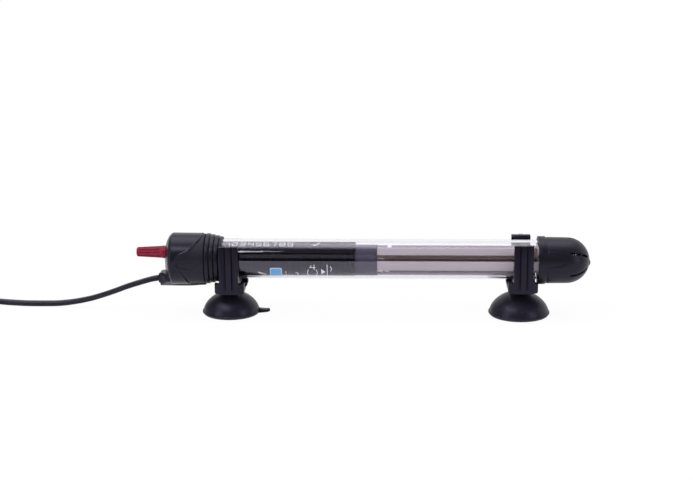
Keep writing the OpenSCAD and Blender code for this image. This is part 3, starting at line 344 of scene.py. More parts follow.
def clear_glass(name):
    """Borosilicate tube: clear, with a trace of drawing streaks along X. Shadows and soft light pass
    straight through it to what it covers."""
    s = Finish(name, Roughness=0.0, IOR=1.53, Transmission_Weight=1.0, Specular_Tint=GLASS_TINT)
    s.done(s.two_tone(s.mottle(30.0, 1.0, (6, 1, 1)), "f2f1f7", "f6f5fa"))
    rays = s.add("LightPath").node.outputs
    passing = s.add("Math", (rays["Is Shadow Ray"], rays["Is Diffuse Ray"]), operation="MAXIMUM")
    s.over(passing, s.add("BsdfTransparent", ((0.94, 0.94, 0.95, 1.0),)))
    return s.material


def head_plastic(name):
    """Black head: polished outside, spark-eroded where the flanks are set back by STEP_DEPTH below
    the S step. The barrel's radius falls from HEAD_R to HEAD_END_R along it."""
    s = Finish(name, Specular_IOR_Level=BLACK_SPECULAR, Specular_Tint=VIOLET)
    x = s.add("SeparateXYZ", (s.place,))
    barrel = s.add("MapRange", (x, HEAD_X, HEAD_END, HEAD_R, HEAD_END_R))
    proud = s.add("Math", (s.from_line(AXIS_Z), barrel), operation="SUBTRACT")
    lower = s.add("Math", (proud, -0.25), operation="LESS_THAN")
    past_face = s.add("Math", (x, -111.6), operation="GREATER_THAN")
    eroded = s.add("Math", (lower, past_face), operation="MULTIPLY")
    flow = s.mottle(8.0, 2.0)
    gloss = s.add("MapRange", (flow, 0.3, 0.7, 0.26, 0.32))
    gloss = s.add("Math", (eroded, 0.2, gloss), operation="MULTIPLY_ADD")
    grain_depth = s.add("Math", (eroded, 0.8, 0.1), operation="MULTIPLY_ADD")
    grains = s.add("Math", (s.mottle(0.3), grain_depth), operation="MULTIPLY")
    colour = s.two_tone(eroded, s.two_tone(flow, "121116", "17161b"), s.two_tone(flow, "16151a", "1b1a1f"))
    return s.done(colour, gloss, grains, 0.015)


def red_plastic(name):
    """Red knob: dyed, slightly see-through plastic, with a painted highlight in paler red along the
    ridges, broken into patches by a mottle.
    """
    s = Finish(name, Subsurface_Weight=0.04, Subsurface_Scale=0.001, Specular_IOR_Level=0.25)
    x = s.add("SeparateXYZ", (s.place,))
    crest = s.add("MapRange", (x, KNOB_TIP, -117.0, KNOB_TIP_R, KNOB_R))
    proud = s.add("Math", (s.from_line(AXIS_Z + KNOB_RISE), crest), operation="SUBTRACT")
    ridge = s.add("MapRange", (proud, -0.45, 0.0))
    # painted highlight: the ridge crests are painted a paler red, in patches set by a mottle
    ridge_highlight = s.add("Math", (ridge, s.mottle(1.2, 4.0)), operation="MULTIPLY")
    colour = s.two_tone(ridge_highlight, s.two_tone(s.mottle(5.0, 2.0), "670024", "78032b"), "8c1034")
    return s.done(colour, s.add("MapRange", (s.mottle(0.6), 0.3, 0.7, 0.3, 0.44)), s.mottle(0.5), 0.01)


def ceramic(name):
    """Fired mauve-grey ceramic: matte, speckled, with faint lengthwise extrusion lines."""
    s = Finish(name)
    specks = s.add("MapRange", (s.mottle(0.35, 4.0, rough=0.7), 0.55, 0.75, 0.0, 0.4))
    lines = s.mottle(0.5, 2.0, (40, 1, 1))
    colour = s.two_tone(specks, s.two_tone(s.mottle(12.0, 3.0, (3, 1, 1)), "a3979f", "b0a4ad"), "7d7078")
    return s.done(colour, s.add("MapRange", (lines, 0.3, 0.7, 0.55, 0.75)), lines, 0.02)


def mineral_felt(name):
    """Dark mineral fibre felt: matted grey threads about 0.4 mm thick."""
    s = Finish(name, Roughness=0.9, Sheen_Weight=0.15, Specular_IOR_Level=0.2)
    fibres = s.mottle(0.45, 4.0, (6, 1, 1), rough=0.7)
    colour = s.two_tone(s.add("MapRange", (fibres, 0.35, 0.7)), "29272c", "4a474d")
    return s.done(colour, height=fibres, depth=0.1)


def ink(name, dark, light):
    """Screen-printed ink: matte and slightly worn, so the film shows through it a little."""
    s = Finish(name, Roughness=0.55, Specular_IOR_Level=0.3)
    worn = s.add("MapRange", (s.mottle(0.5, 4.0, rough=0.7), 0.45, 0.75))
    return s.done(s.two_tone(worn, light, dark), height=worn, depth=0.004)


NO_GRAIN = (1, 1, 1)
MATERIALS = {
    "glass_tube": clear_glass("borosilicate glass"),
    "head_shell": head_plastic("black moulded head"),
    "seal_collar": soft_rubber("ribbed collar rubber", 0.36),
    "tube_bung": soft_rubber("grey bung rubber", 0.5, "1f1e22", "28272b"),
    "knob": red_plastic("red knob plastic"),
    "knob_spindle": metal("turned brass", "a5813f", "c9a65a", 0.3, (1, 8, 8)),
    "spindle_seal": soft_rubber("seal ring rubber", 0.4, "1a1a1a", "242424"),
    "cable_gland": soft_rubber("gland rubber", 0.42, light="19181c"),
    "cord_end": soft_rubber("cord sheath", 0.38, light="18171c"),
    "supply_leads": soft_rubber("lead insulation", 0.35, "6b3d22", "7c4a2c"),
    "thermostat_frame": moulded("cream thermostat plastic", "cfc7b4", "dcd5c4", 0.45),
    "adjust_slider": moulded("cream slider plastic", "d5cebd", "e2dccd", 0.4),
    "bimetal_strip": metal("rolled bimetal", "9a7a42", "b8975a", 0.28),
    "contact_arm": metal("spring bronze", "a87a4c", "c2925e", 0.25),
    "moving_contact": metal("silver contact", "c4c4c6", "dcdcdd", 0.22, NO_GRAIN),
    "fixed_contact": metal("silver contact plate", "c4c4c6", "dcdcdd", 0.22, NO_GRAIN),
    "magnet": metal("ferrite magnet", "4a4a4d", "5c5c60", 0.4, NO_GRAIN),
    "suppressor": moulded("blue epoxy", "1f4f9a", "2a5fae", 0.25),
    "sleeve": moulded("printed film sleeve", "050408", "08070d", 0.08, grain=0.6, depth=0.00005,
                      dust=0.02, specular=0.15, tint=VIOLET, sway=0.008),
    "element_holder": moulded("dark grey holder plastic", "302c38", "3b3744", 0.45, specular=0.4,
                              tint=VIOLET),
    "ceramic_core": ceramic("mauve ceramic core"),
    "heating_wire": metal("heating alloy", "7a6450", "9a8268", 0.42, NO_GRAIN),
    "terminal_crimps": metal("nickel-plated crimps", "b9b4aa", "dedad0", 0.24),
    "element_leads": metal("nickel wire", "b0aca4", "d0ccc4", 0.28),
    "end_cushion": mineral_felt("mineral fibre felt"),
    "guard_cap": black_moulded("black guard plastic", 0.34),
    "clip_left": black_moulded("black clip plastic", 0.32, "0f0d15", "15121c"),
    "clip_right": black_moulded("black clip plastic right", 0.32, "0f0d15", "15121c"),
    "suction_cup_left": soft_rubber("suction cup rubber", 0.38, "15131c", "1c1a24"),
    "suction_cup_right": soft_rubber("suction cup rubber right", 0.38, "15131c", "1c1a24"),
    "cord_tie": black_moulded("black tie plastic", 0.45, "131217", "1a191e"),
    "plug_body": soft_rubber("plug body rubber", 0.42, light="18171c"),
    "plug_pins": metal("plated plug pins", "c6b98c", "dccfa4", 0.22),
}
for node_name, material in MATERIALS.items():
    mesh = NODES[node_name].data
    mesh.materials.clear()
    mesh.materials.append(material)
mains_lead.data.materials.append(MATERIALS["cord_end"])


# ------------------------------------------------------------------ pieces

def dress(piece, body, slot, material, *stands_for):
    """Hangs a piece on its body, gives it its material and hides the CAD nodes it stands for."""
    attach(piece, body)
    piece.data.materials.append(material)
    if stands_for:
        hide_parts(*stands_for)
    return piece


def glass_form():
    """Glass tube: an outer cylinder of radius TUBE_R with a hemisphere about DOME_X, the same inside
    at BORE_R, joined at the mouth by a fire-rounded rim of half the wall's thickness."""
    half = (TUBE_R - BORE_R) / 2
    outer = arc((DOME_X, 0), TUBE_R, 0.05, 90, 24) + [(x, TUBE_R) for x in np.linspace(100, -100, 21)]
    rim = arc((TUBE_X + half, BORE_R + half), half, 90, 270, 10)
    inner = [(x, BORE_R) for x in np.linspace(-100, 100, 21)] + arc((DOME_X, 0), BORE_R, 90, 0.05, 24)
    return grid_piece("glass", revolve(outer + rim + inner, "X", (0, AXIS_Z), 192))


dress(glass_form(), "heater", "clear_glass", MATERIALS["glass_tube"], "glass_tube")


def collar_form():
    """Ribbed collar: four rings whose radius falls by 0.6 mm each, each crowned by a quarter-round of
    0.35 mm, with a groove 0.55 mm wide and 0.8 mm deep before each, and a plain sleeve in the head."""
    start, pitch, gap, end, sleeve_r = -94.9, 2.75, 0.55, -84.6, 13.7
    profile = [(-103.9, 12.05), (-103.9, sleeve_r - 0.2), (-103.7, sleeve_r), (start - 0.1, sleeve_r)]
    for i in range(4):
        top, left = 15.2 - 0.6 * i, start + pitch * i
        right = min(left + pitch, end)
        profile += [(left - 0.02, top - 0.8), (left + gap, top - 0.8)]
        profile += arc((left + gap + 0.35, top - 0.35), 0.35, 180, 90, 5)
        profile += arc((right - 0.35, top - 0.42), 0.35, 90, 0, 5)
    profile += [(end, 12.05)]
    return grid_piece("collar", revolve(profile + profile[:1], "X", (0, AXIS_Z), 160), caps=False)


dress(collar_form(), "heater", "black_rubber", MATERIALS["seal_collar"], "seal_collar")


FLUTES, FLUTE_DEPTH, SPINDLE_R = 10, 0.62, 2.05


def knob_form():
    """Knob: radius R(x) - depth * (0.5 + 0.5 cos(FLUTES a))^1.6 about the spindle's axis. R widens
    from the tip's rounding of 1 mm to the base, with a low bead before the collar, and the flutes
    fade out at both ends."""
    tip, base, axis = KNOB_TIP, KNOB_BASE, (0.0, AXIS_Z + KNOB_RISE)
    a = np.arange(180) * TAU / 180
    nose = tip + 1.0 - np.cos(np.linspace(0, TAU / 4, 10))
    rings = []
    for x in np.concatenate([nose, np.linspace(tip + 1.4, base, 60)]):
        r = np.interp(x, [tip + 1.0, base - 3.2, base], [KNOB_TIP_R, KNOB_R, KNOB_R])
        if x < tip + 1.0:
            r = KNOB_TIP_R - 1 + math.sqrt(max(0.0, 1 - (tip + 1.0 - x) ** 2))
        fade = float(smooth01((x - tip - 0.4) / 1.6) * smooth01((base - 4.2 - x) / 1.4))
        flute = FLUTE_DEPTH * fade * (0.5 + 0.5 * np.cos(FLUTES * a)) ** 1.6
        bead = 0.12 * math.exp(-((x - base + 3.4) / 0.35) ** 2)
        rings.append(circle_ring(x, r + bead - flute, a, *axis))
    rings += [circle_ring(x, SPINDLE_R, a, *axis) for x in (base, base - 11.9)]
    return grid_piece("knob_grip", rings)


dress(knob_form(), "knob_set", "red_plastic", MATERIALS["knob"], "knob")


GROOVES, CORE_AXIS, GROOVE_R = 6, (0.0, AXIS_Z - 0.7), 7.1
CORE_X, CORE_END = 8.4, 105.8
LINK_LEFT, LINK_RIGHT = CORE_X + 7.4, CORE_END - 3.2


def groove_angle(i):
    """Angle of groove i about the core's axis, from Y towards Z."""
    return math.radians(180 - 22 - i * 360 / GROOVES)


def round_tube(path, radius, sides):
    """Rings of a round wire along a path, kept from twisting by carrying one frame along it."""
    path = np.asarray(path, float)
    ahead = headings(path)
    side = np.cross(ahead[0], [0.3, 0.5, 0.81])
    side /= np.linalg.norm(side)
    a = np.arange(sides) * TAU / sides
    rings = []
    for point, way in zip(path, ahead):
        side = side - way * np.dot(side, way)
        side /= np.linalg.norm(side)
        up = np.cross(way, side)
        rings.append(point + radius * (np.cos(a)[:, None] * side + np.sin(a)[:, None] * up))
    return np.array(rings)


COIL_R, COIL_PITCH, WIRE_R, LINK_WIRE_R = 0.9, 0.56, 0.2, 0.5


def coil_path(i):
    """Winding i: the helix y = COIL_R cos t, z = COIL_R sin t about groove i's own line, COIL_PITCH
    a turn."""
    start = {0: CORE_X + 4.3, GROOVES - 1: CORE_X + 7.4}.get(i, LINK_LEFT - 1)
    end = LINK_RIGHT + 1
    turns = (end - start) / COIL_PITCH
    t = np.linspace(0, TAU * turns, int(turns * 12) + 1)
    _, y, z = circle_ring(0.0, GROOVE_R, np.array([groove_angle(i)]), *CORE_AXIS)[0]
    along = start + 0.2 + (end - start - 0.4) * t / t[-1]
    return np.stack([along, y + COIL_R * np.cos(t), z + COIL_R * np.sin(t)], -1)


def link_path(x, i):
    """The wire's crossing from groove i to i + 1: an arc of radius GROOVE_R about the core's axis."""
    return circle_ring(x, GROOVE_R, np.linspace(groove_angle(i), groove_angle(i + 1), 25), *CORE_AXIS)


windings = [(f"winding_{i}", coil_path(i), WIRE_R, 6) for i in range(GROOVES)]
windings += [(f"winding_link_{i}", link_path(LINK_LEFT if i % 2 else LINK_RIGHT, i), LINK_WIRE_R, 12)
             for i in range(GROOVES - 1)]
for name, path, radius, sides in windings:
    winding = grid_piece(name, round_tube(path, radius, sides))
    dress(winding, "heater", "heating_alloy", MATERIALS["heating_wire"], "heating_wire")


CUP_FULLNESS = 1.82


def meridian(r, low, high, n):
    """Half outline of a cup: (z - low, radius) = ((high - low) sin^p a, r cos^p a) with p = 2 /
    CUP_FULLNESS."""
    a, p = np.radians(90 * (np.arange(n + 1) / n) ** 1.3), 2 / CUP_FULLNESS
    heights, radii = low + (high - low) * np.sin(a).clip(0) ** p, r * np.cos(a).clip(0) ** p
    return list(zip(heights, radii))


def cup_form(name, x, rim, height, plate_low):
    """Suction cup: a turned dome over a bevelled lip, a fillet up to the neck, a mushroom head above
    the clip's keyhole and a hollow 2.2 mm under the dome."""
    lip_h, lip_w, bevel, neck, wall, blend = 1.3, 0.9, 1.0, 3.2, 2.2, 0.9
    foot = rim - bevel
    outer = [(z, r) for z, r in meridian(rim, lip_h, height, 44) if r > neck + blend]
    root = outer[-1][0]
    fillet = [(root + blend * (1 - math.cos(t)), neck + blend * (1 - math.sin(t)))
              for t in np.linspace(0, TAU / 4, 8)]
    head_low = plate_low + 1.9
    head = [(head_low, neck), (head_low, 4.9), (head_low + 0.1, 5.15), (head_low + 1.3, 4.35),
            (head_low + 1.55, 4.0), (head_low + 1.6, 0.01)]
    inner = [(z, max(r, 0.01)) for z, r in meridian(foot - lip_w, 0.0, height - wall, 32)][::-1]
    lip = [(0.0, foot - lip_w + 0.05), (0.0, foot - 0.15), (0.1, foot), (lip_h - 0.12, rim - 0.08)]
    bead = [(lip_h, rim), (lip_h + 0.6, rim - 0.03), (lip_h + 0.85, rim - 0.2), (lip_h + 0.95, rim - 0.5)]
    outer = [(z, r - 0.5) for z, r in outer if z > lip_h + 1.1]
    piece = grid_piece(name, revolve(inner + lip + bead + outer + fillet + head, "Z", (x, 0.0), 144))
    piece.data.set_sharp_from_angle(angle=math.radians(28))
    return piece


def tab_form(name, x, rim, angle):
    """Pull tab: a flat tongue of rounded plan, 5 mm wide and thicker at its root, that rises 6
    degrees from inside the rim."""
    length, width, low = 7.65, 5.0, 0.3
    round_end = np.linspace(0, TAU / 4 * 0.98, 14)
    u = np.concatenate([[0.0], length - width / 2 + width / 2 * np.sin(round_end)])
    half = np.concatenate([[width / 2], width / 2 * np.cos(round_end)])
    lift, turn = math.radians(6), math.radians(angle)
    rings = []
    for along, h in zip(u, half):
        edge = min(0.3, h * 0.6)
        thick = 1.5 + 0.9 * math.exp(-(along / 2.4) ** 2)
        v = np.array([-h, edge - h, h - edge, h, h, h - edge, edge - h, -h])
        w = np.array([edge, 0, 0, edge, thick - edge, thick, thick, thick - edge])
        out = rim - 1.45 + along * math.cos(lift) - w * math.sin(lift)
        across = x + out * math.cos(turn) - v * math.sin(turn)
        rise = low + along * math.sin(lift) + w * math.cos(lift)
        rings.append(np.stack([across, out * math.sin(turn) + v * math.cos(turn), rise], -1))
    return grid_piece(name, rings)


for side, x, rim, height, low, angle in (("left", -80.4, 17.5, 14.0, 15.4, 0.0),
                                         ("right", 93.9, 18.4, 14.6, 16.7, 56.0)):
    node = f"suction_cup_{side}"
    for made in (cup_form(f"cup_{side}", x, rim, height, low), tab_form(f"cup_tab_{side}", x, rim, angle)):
        dress(made, f"{side}_cup", "black_rubber", MATERIALS[node], node)


# ------------------------------------------------------------------ head

S_STEP = [(8.6, 1.0), (9.0, 3.6), (10.4, 5.0), (12.6, 5.9), (15.2, 7.0), (17.4, 8.6), (19.2, 10.4),
          (21.2, 12.6), (23.0, 14.4), (24.6, 17.0)]
BACK_EDGE = [(16.2, -16.6), (13.2, -9.0), (10.2, -3.6), (8.6, 1.0)]
LEAF_X, LEAF_R, LEAF_LOW, LEAF_HIGH = 16.1, 12.4, -10.2, 8.8
FACE_DEPTH, FACE_FLAT, FACE_FULLNESS = 5.4, 3.6, 1.7
KEEL_R, KEEL_DROP, BOSS_LONG, BOSS_EDGE = 4.3, 12.8, 3.1, 0.5
FLARE_X = (-BOSS_LONG, -1.5, 0.0, 1.7, 5.4, 8.0)
FLARE_HALF = (KEEL_R, 4.9, 6.0, 8.2, 12.6, 16.0)
SIDE_X, SIDE_LOW = (0, 5, 9, 12.5, 16, 21, 24.9), (16.6, 16.75, 17.1, 17.1, 16.7, 16.0, 15.7)


def depth_inside(px, pz, outline):
    """Distance of points from a closed outline, positive inside it and negative outside."""
    a = np.asarray(outline, float)
    b = np.roll(a, -1, 0)
    point = np.stack([px, pz], -1)[..., None, :]
    ab = b - a
    t = np.clip(((point - a) * ab).sum(-1) / (ab ** 2).sum(-1), 0, 1)
    near = np.linalg.norm(point - a - t[..., None] * ab, axis=-1).min(-1)
    x, z = px[..., None], pz[..., None]
    edge_x = a[:, 0] + (z - a[:, 1]) * ab[:, 0] / (ab[:, 1] + 1e-9)
    crossed = ((a[:, 1] > z) != (b[:, 1] > z)) & (x < edge_x)
    return np.where(crossed.sum(-1) % 2 == 1, near, -near)


S_OUTLINE = np.vstack([catmull(S_STEP, 5), [(27.0, 17.0), (27.0, -17.0)], catmull(BACK_EDGE, 4)[:-1]])


def fairing_reach(x, down, beyond=0.0):
    """How far the cable's fairing reaches from the axis, x mm behind the face and at an angle down
    from straight below: at the face the common tangents of the keel's circle (radius k about c below
    the axis) and the flank's circle, further back the keel alone, cut to the plan's half width and to
    the side view's depth. Beyond the tangents' end it reaches as far as given."""
    c, k, flank = KEEL_DROP, KEEL_R, HEAD_END_R - STEP_DEPTH
    lean = math.acos((flank - k) / c)
    foot = math.atan2(k * math.sin(lean), c + k * math.cos(lean))
    circle = c * np.cos(down) + np.sqrt(np.maximum(0.0, k * k - (c * np.sin(down)) ** 2))
    hull = np.where(down < foot, circle, np.where(down < lean, flank / np.cos(down - lean), beyond))
    behind = float(smooth01((x - 4) / 5))
    hull = hull + (circle - hull) * behind
    half = np.interp(x, FLARE_X, FLARE_HALF) + 0.02
    low = np.interp(x, SIDE_X, SIDE_LOW)
    reach = np.minimum(hull, half / np.maximum(np.sin(down), 1e-3))
    return np.minimum(reach, low / np.maximum(np.cos(down), 1e-3))


def head_rings():
    """Rings of the head. With p = 2 / FACE_FULLNESS its face is r = flat + (R - flat) sin^p a and
    x = depth (1 - cos^p a), its barrel tapers to HEAD_END_R, and each ring is lowered by STEP_DEPTH
    behind the S step and again in the leaf. The fairing is joined by a smooth maximum."""
    a, p = np.radians(np.linspace(0, 90, 46)), 2 / FACE_FULLNESS
    face_x = FACE_DEPTH * (1 - np.cos(a).clip(0) ** p)
    face_r = FACE_FLAT + (HEAD_R - FACE_FLAT) * np.sin(a) ** p
    profile = [(0.0, r) for r in (0.02, 1.2, 2.4)] + list(zip(face_x, face_r))
    length = HEAD_END - HEAD_X
    for x in np.linspace(5.6, length - 0.3, 100):
        profile.append((x, HEAD_R + (HEAD_END_R - HEAD_R) * x / length))
    profile += [(length - 0.09, HEAD_END_R - 0.09), (length, HEAD_END_R - 0.3)]
    angle = np.arange(432) * TAU / 432
    down = np.abs((angle + TAU / 4 + math.pi) % TAU - math.pi)
    rings = []
    for x, r in profile:
        z = r * np.sin(angle)
        flank = depth_inside(np.full_like(angle, x), z, S_OUTLINE)
        leaf = LEAF_R - np.maximum(np.hypot(x - LEAF_X, z - LEAF_LOW), np.hypot(x - LEAF_X, z - LEAF_HIGH))
        lowered = STEP_DEPTH * (smooth01(flank / 0.5 + 0.5) + smooth01(leaf / 0.5 + 0.5))
        lip = 0.16 * np.exp(-((flank + 0.5) / 0.35) ** 2)
        surface = r - (lowered - lip) * smooth01((r - 13.0) / 1.0)
        if r > 7.2:
            reach = r + (fairing_reach(x, down) - r) * smooth01((r - 7.2) / 0.8)
            surface = (surface + reach + np.sqrt((surface - reach) ** 2 + 0.06)) / 2
        ring = circle_ring(x + HEAD_X, surface, angle)
        flat = smooth01(np.abs(ring[:, 1]) / 9) * smooth01(1 - x / FACE_DEPTH) * smooth01(down / 0.5 - 0.6)
        ring[:, 0] += 0.9 * flat
        rings.append(ring)
    for x, r in ((length, 13.85), (6.0, 13.85), (6.0, 8.0), (6.0, 0.02)):
        rings.append(circle_ring(x + HEAD_X, r, angle))
    return np.array(rings)


def boss_rings():
    """Cable boss: a keel of radius KEEL_R under straight sides with rounded top corners, BOSS_LONG
    before the face, with a front edge rounded by BOSS_EDGE. Its sides spread into the fairing."""
    k, top, corner, sides = KEEL_R, -8.2, 1.3, (-11.6, -10.4, -9.2)
    low = np.radians(np.linspace(180, 360, 37))
    outline = [(k * math.cos(t), max(-16.6, k * math.sin(t) - KEEL_DROP)) for t in low]
    outline += [(k, z) for z in sides] + arc((k - corner, top - corner), corner, 0, 90, 8)
    outline += arc((corner - k, top - corner), corner, 90, 180, 8) + [(-k, z) for z in sides[::-1]]
    outline = np.array(outline)
    centre = np.array([0.0, -12.2])
    rings = []
    for t in np.linspace(0, TAU / 4, 7):
        y, z = (centre + (outline - centre) * (1 - BOSS_EDGE * (1 - math.sin(t)) / 4.4)).T
        x = HEAD_X - BOSS_LONG + BOSS_EDGE * (1 - math.cos(t))
        rings.append(np.stack([np.full_like(y, x), y, AXIS_Z + z], -1))
    for x, end in ((-1.5, -1.5), (-0.75, -0.75), (0.0, 0.0), (0.6, 0.6), (0.6, 1.6)):
        y, z = outline[:, 0] * np.interp(x, FLARE_X, FLARE_HALF) / k, outline[:, 1]
        reach, down = np.hypot(y, z), np.arctan2(np.abs(y), -z)
        held = np.minimum(reach, fairing_reach(x, down, HEAD_END_R - STEP_DEPTH)) / reach
        rings.append(np.stack([np.full_like(y, HEAD_X + end), y * held, AXIS_Z + z * held], -1))
    return rings


def combine(piece, other, operation):
    """Joins another piece to a piece, or cuts it out, and removes the other."""
    modifier = piece.modifiers.new("combine", "BOOLEAN")
    modifier.object, modifier.operation, modifier.solver = other, operation, "EXACT"
    mesh = bpy.data.meshes.new_from_object(piece.evaluated_get(bpy.context.evaluated_depsgraph_get()))
    piece.modifiers.clear()
    piece.data = mesh
    bpy.data.objects.remove(other)
    return piece


head = grid_piece("head", head_rings())
combine(head, grid_piece("boss", boss_rings()), "UNION")
HEAD_BORES = {"knob": (-121.0, -116.8, 4.1, KNOB_RISE), "spindle": (-118.0, -112.0, SPINDLE_R, KNOB_RISE),
              "cable": (-124.0, -111.8, 3.5, -12.3)}
for name, (x, end, radius, rise) in HEAD_BORES.items():
    bore = revolve([(x, radius), (end, radius)], "X", (0.0, AXIS_Z + rise), 96)
    combine(head, grid_piece(name + "_bore", bore), "DIFFERENCE")
head.data.shade_smooth()
head.data.set_sharp_from_angle(angle=math.radians(42))
dress(head, "heater", "black_plastic", MATERIALS["head_shell"], "head_shell")


# ------------------------------------------------------------------ softened mouldings

def softened(node, body, slot, width, segments=2, crop=None):
    """A moulding with its CAD shape and edges rounded by a bevel: flat faces are first made whole, so
    that the bevel meets real edges only. crop is a box (low, high) in mm that is cut away first."""
    mesh = bpy.data.meshes.new(node + "_soft")
    shape = bmesh.new()
    shape.from_mesh(NODES[node].data)
    bmesh.ops.remove_doubles(shape, verts=shape.verts, dist=0.002 * MM)
    bmesh.ops.dissolve_limit(shape, angle_limit=math.radians(0.5), verts=shape.verts, edges=shape.edges)
    shape.to_mesh(mesh)
    shape.free()
    piece = bpy.data.objects.new(node + "_soft", mesh)
    bpy.context.scene.collection.objects.link(piece)
    piece.matrix_world = Matrix.Identity(4)
    if crop:
        (x0, y0, z0), (x1, y1, z1) = crop
        ends = [[(x, y0, z0), (x, y1, z0), (x, y1, z1), (x, y0, z1)] for x in (x0, x1)]
        combine(piece, grid_piece("cutter", ends, smooth=False), "DIFFERENCE")
    bevel = piece.modifiers.new("edges", "BEVEL")
    bevel.width, bevel.segments = width * MM, segments
    bevel.limit_method, bevel.angle_limit = "ANGLE", math.radians(32)
    mesh = bpy.data.meshes.new_from_object(piece.evaluated_get(bpy.context.evaluated_depsgraph_get()))
    piece.modifiers.clear()
    piece.data = mesh
    mesh.shade_smooth()
    mesh.set_sharp_from_angle(angle=math.radians(38))
    mesh.materials.clear()
    return dress(piece, body, slot, MATERIALS[node], node)


softened("clip_left", "left_clip", "matte_black_plastic", 0.3, crop=((-90, 8, 42.3), (-70, 18, 46)))
softened("clip_right", "right_clip", "matte_black_plastic", 0.3)
softened("guard_cap", "heater", "matte_black_plastic", 0.28)
softened("plug_body", "heater", "black_rubber", 0.6, 3)
softened("cord_tie", "heater", "matte_black_plastic", 0.25)


def latch_rib():
    """Raised edge of the guard's snap latch: a half-round line on the front that rises 5 degrees, with
    a round knuckle at its end."""
    t = np.linspace(0, 1, 60)
    length, guard_r = 7.7, 13.72
    x = 110.6 + length * t
    z = -2.3 + length * t * math.tan(math.radians(5))
    front = -np.sqrt(guard_r ** 2 - z ** 2)
    size = 0.26 + 0.16 * smooth01(t / 0.2) + 0.4 * np.exp(-((t - 0.88) / 0.07) ** 2)
    size *= np.sqrt(np.clip(1 - (2 * t - 1) ** 24, 0.01, 1))
    a = np.arange(16) * TAU / 16
    along, across, rise = np.stack([x, front, AXIS_Z + z])[..., None] + np.zeros(16)
    across, rise = across + 0.8 * size[:, None] * np.cos(a), rise + size[:, None] * np.sin(a)
    return grid_piece("guard_latch_edge", np.stack([along, across, rise], -1))


dress(latch_rib(), "heater", "matte_black_plastic", MATERIALS["guard_cap"])


# ------------------------------------------------------------------ print on the sleeve

SLEEVE_R, INK_LOW, INK = 10.2, 0.01, 0.04


def wrap(spots, lift):
    """Points of the printed film from (x, s): x along the tube and s up around it, lift above it."""
    x, s = spots.T
    r, turn = SLEEVE_R + lift, s / SLEEVE_R
    return np.stack([x, -r * np.cos(turn), AXIS_Z + r * np.sin(turn)], -1)


def mark(left, right, lift=INK):
    """Rings of one mark between its edges, each an array of (x, s)."""
    return np.stack([wrap(left, INK_LOW), wrap(right, INK_LOW), wrap(right, lift), wrap(left, lift)], 1)


def line_mark(points, width=0.45, step=0.4):
    """Marks of a drawn line through (x, s) points."""
    points = np.asarray(points, float)
    marks = []
    for a, b in zip(points[:-1], points[1:]):
        length = np.linalg.norm(b - a)
        n = max(1, int(length / step))
        across = np.array([a[1] - b[1], b[0] - a[0]]) / length * width / 2
        line = a + (b - a) * np.arange(n + 1)[:, None] / n
        marks.append(mark(line + across, line - across))
    return marks


def printed(name, marks, material):
    """One piece of ink from several marks, each a tube of rings."""
    points, faces = [], []
    for rings in marks:
        grid, made = tube_skin(rings)
        faces += [[i + len(points) for i in face] for face in made]
        points += grid.tolist()
    return dress(new_piece(name, points, faces, smooth=False), "heater", "printed_sleeve", material)


STROKES = {"1": [[(2, 0), (2, 4)]],
           "2": [[(0, 4), (2, 4), (2, 2), (0, 2), (0, 0), (2, 0)]],
           "3": [[(0, 4), (2, 4), (2, 0), (0, 0)], [(0, 2), (2, 2)]],
           "4": [[(0, 4), (0, 2), (2, 2)], [(2, 4), (2, 0)]],
           "5": [[(2, 4), (0, 4), (0, 2), (2, 2), (2, 0), (0, 0)]],
           "6": [[(2, 4), (0, 4), (0, 0), (2, 0), (2, 2), (0, 2)]],
           "7": [[(0, 4), (2, 4), (1, 0)]],
           "8": [[(0, 0), (2, 0), (2, 4), (0, 4), (0, 0)], [(0, 2), (2, 2)]],
           "9": [[(2, 2), (0, 2), (0, 4), (2, 4), (2, 0), (0, 0)]]}


def number_row(x, s, pitch, width, height):
    """The plain numbers 1 to 9 in a row that starts at (x, s)."""
    marks = []
    for i, digit in enumerate("123456789"):
        for line in STROKES[digit]:
            points = [(x + i * pitch + u * width / 2, s + v * height / 4) for u, v in line]
            marks += line_mark(points, 0.5)
    return marks


def oval(x, s, wide, high, start, end):
    """Rings of part of an ellipse about (x, s), from start to end degrees."""
    a = np.radians(np.linspace(start, end, 28))
    return line_mark(np.stack([x + wide * np.cos(a), s + high * np.sin(a)], -1), 0.4)


white_ink = ink("white ink", "a9a8b0", "e4e4ea")
blue_ink = ink("blue ink", "2f86bd", "4aa6dc")
pale_ink = ink("pale blue ink", "8fb6d0", "bcd8ea")
grey_ink = ink("grey ink", "9896a0", "c8c6d0")
printed("print_numbers", number_row(-83.0, 10.5, 4.75, 3.0, 3.0), grey_ink)
WHITE_LINES = [(0.6, (-30.0, 11.4), (-28.6, 11.0), (-25.6, 13.2)), (0.8, (-62.6, -6.1), (-57.8, -8.4)),
               (0.45, (-45.9, -10.8), (-45.9, -8.0)), (0.6, (-45.9, -6.4), (-45.9, -5.6)),
               (0.45, (-40.2, -6.6), (-38.8, -6.6), (-38.8, -11.2)), (0.4, (-32.0, -2.7), (-28.2, -2.7)),
               (0.4, (-30.9, -1.2), (-30.9, -2.7)), (0.4, (-29.0, -0.9), (-29.0, -4.4)),
               (0.4, (-21.2, -0.9), (-21.2, -10.7)), (0.4, (-19.3, -1.9), (-18.5, -3.6), (-19.3, -5.4))]
marks = oval(-30.1, -6.6, 2.9, 4.0, 140, 400)
for width, *points in WHITE_LINES:
    marks += line_mark(points, width)
s = np.linspace(-7.8, -3.6, 13)
tip = -24.7 + 2.4 * (1 - np.abs(s + 5.7) / 2.1)
marks.append(mark(np.stack([np.full_like(s, -24.8), s], -1), np.stack([tip, s], -1)))
printed("print_white", marks, white_ink)


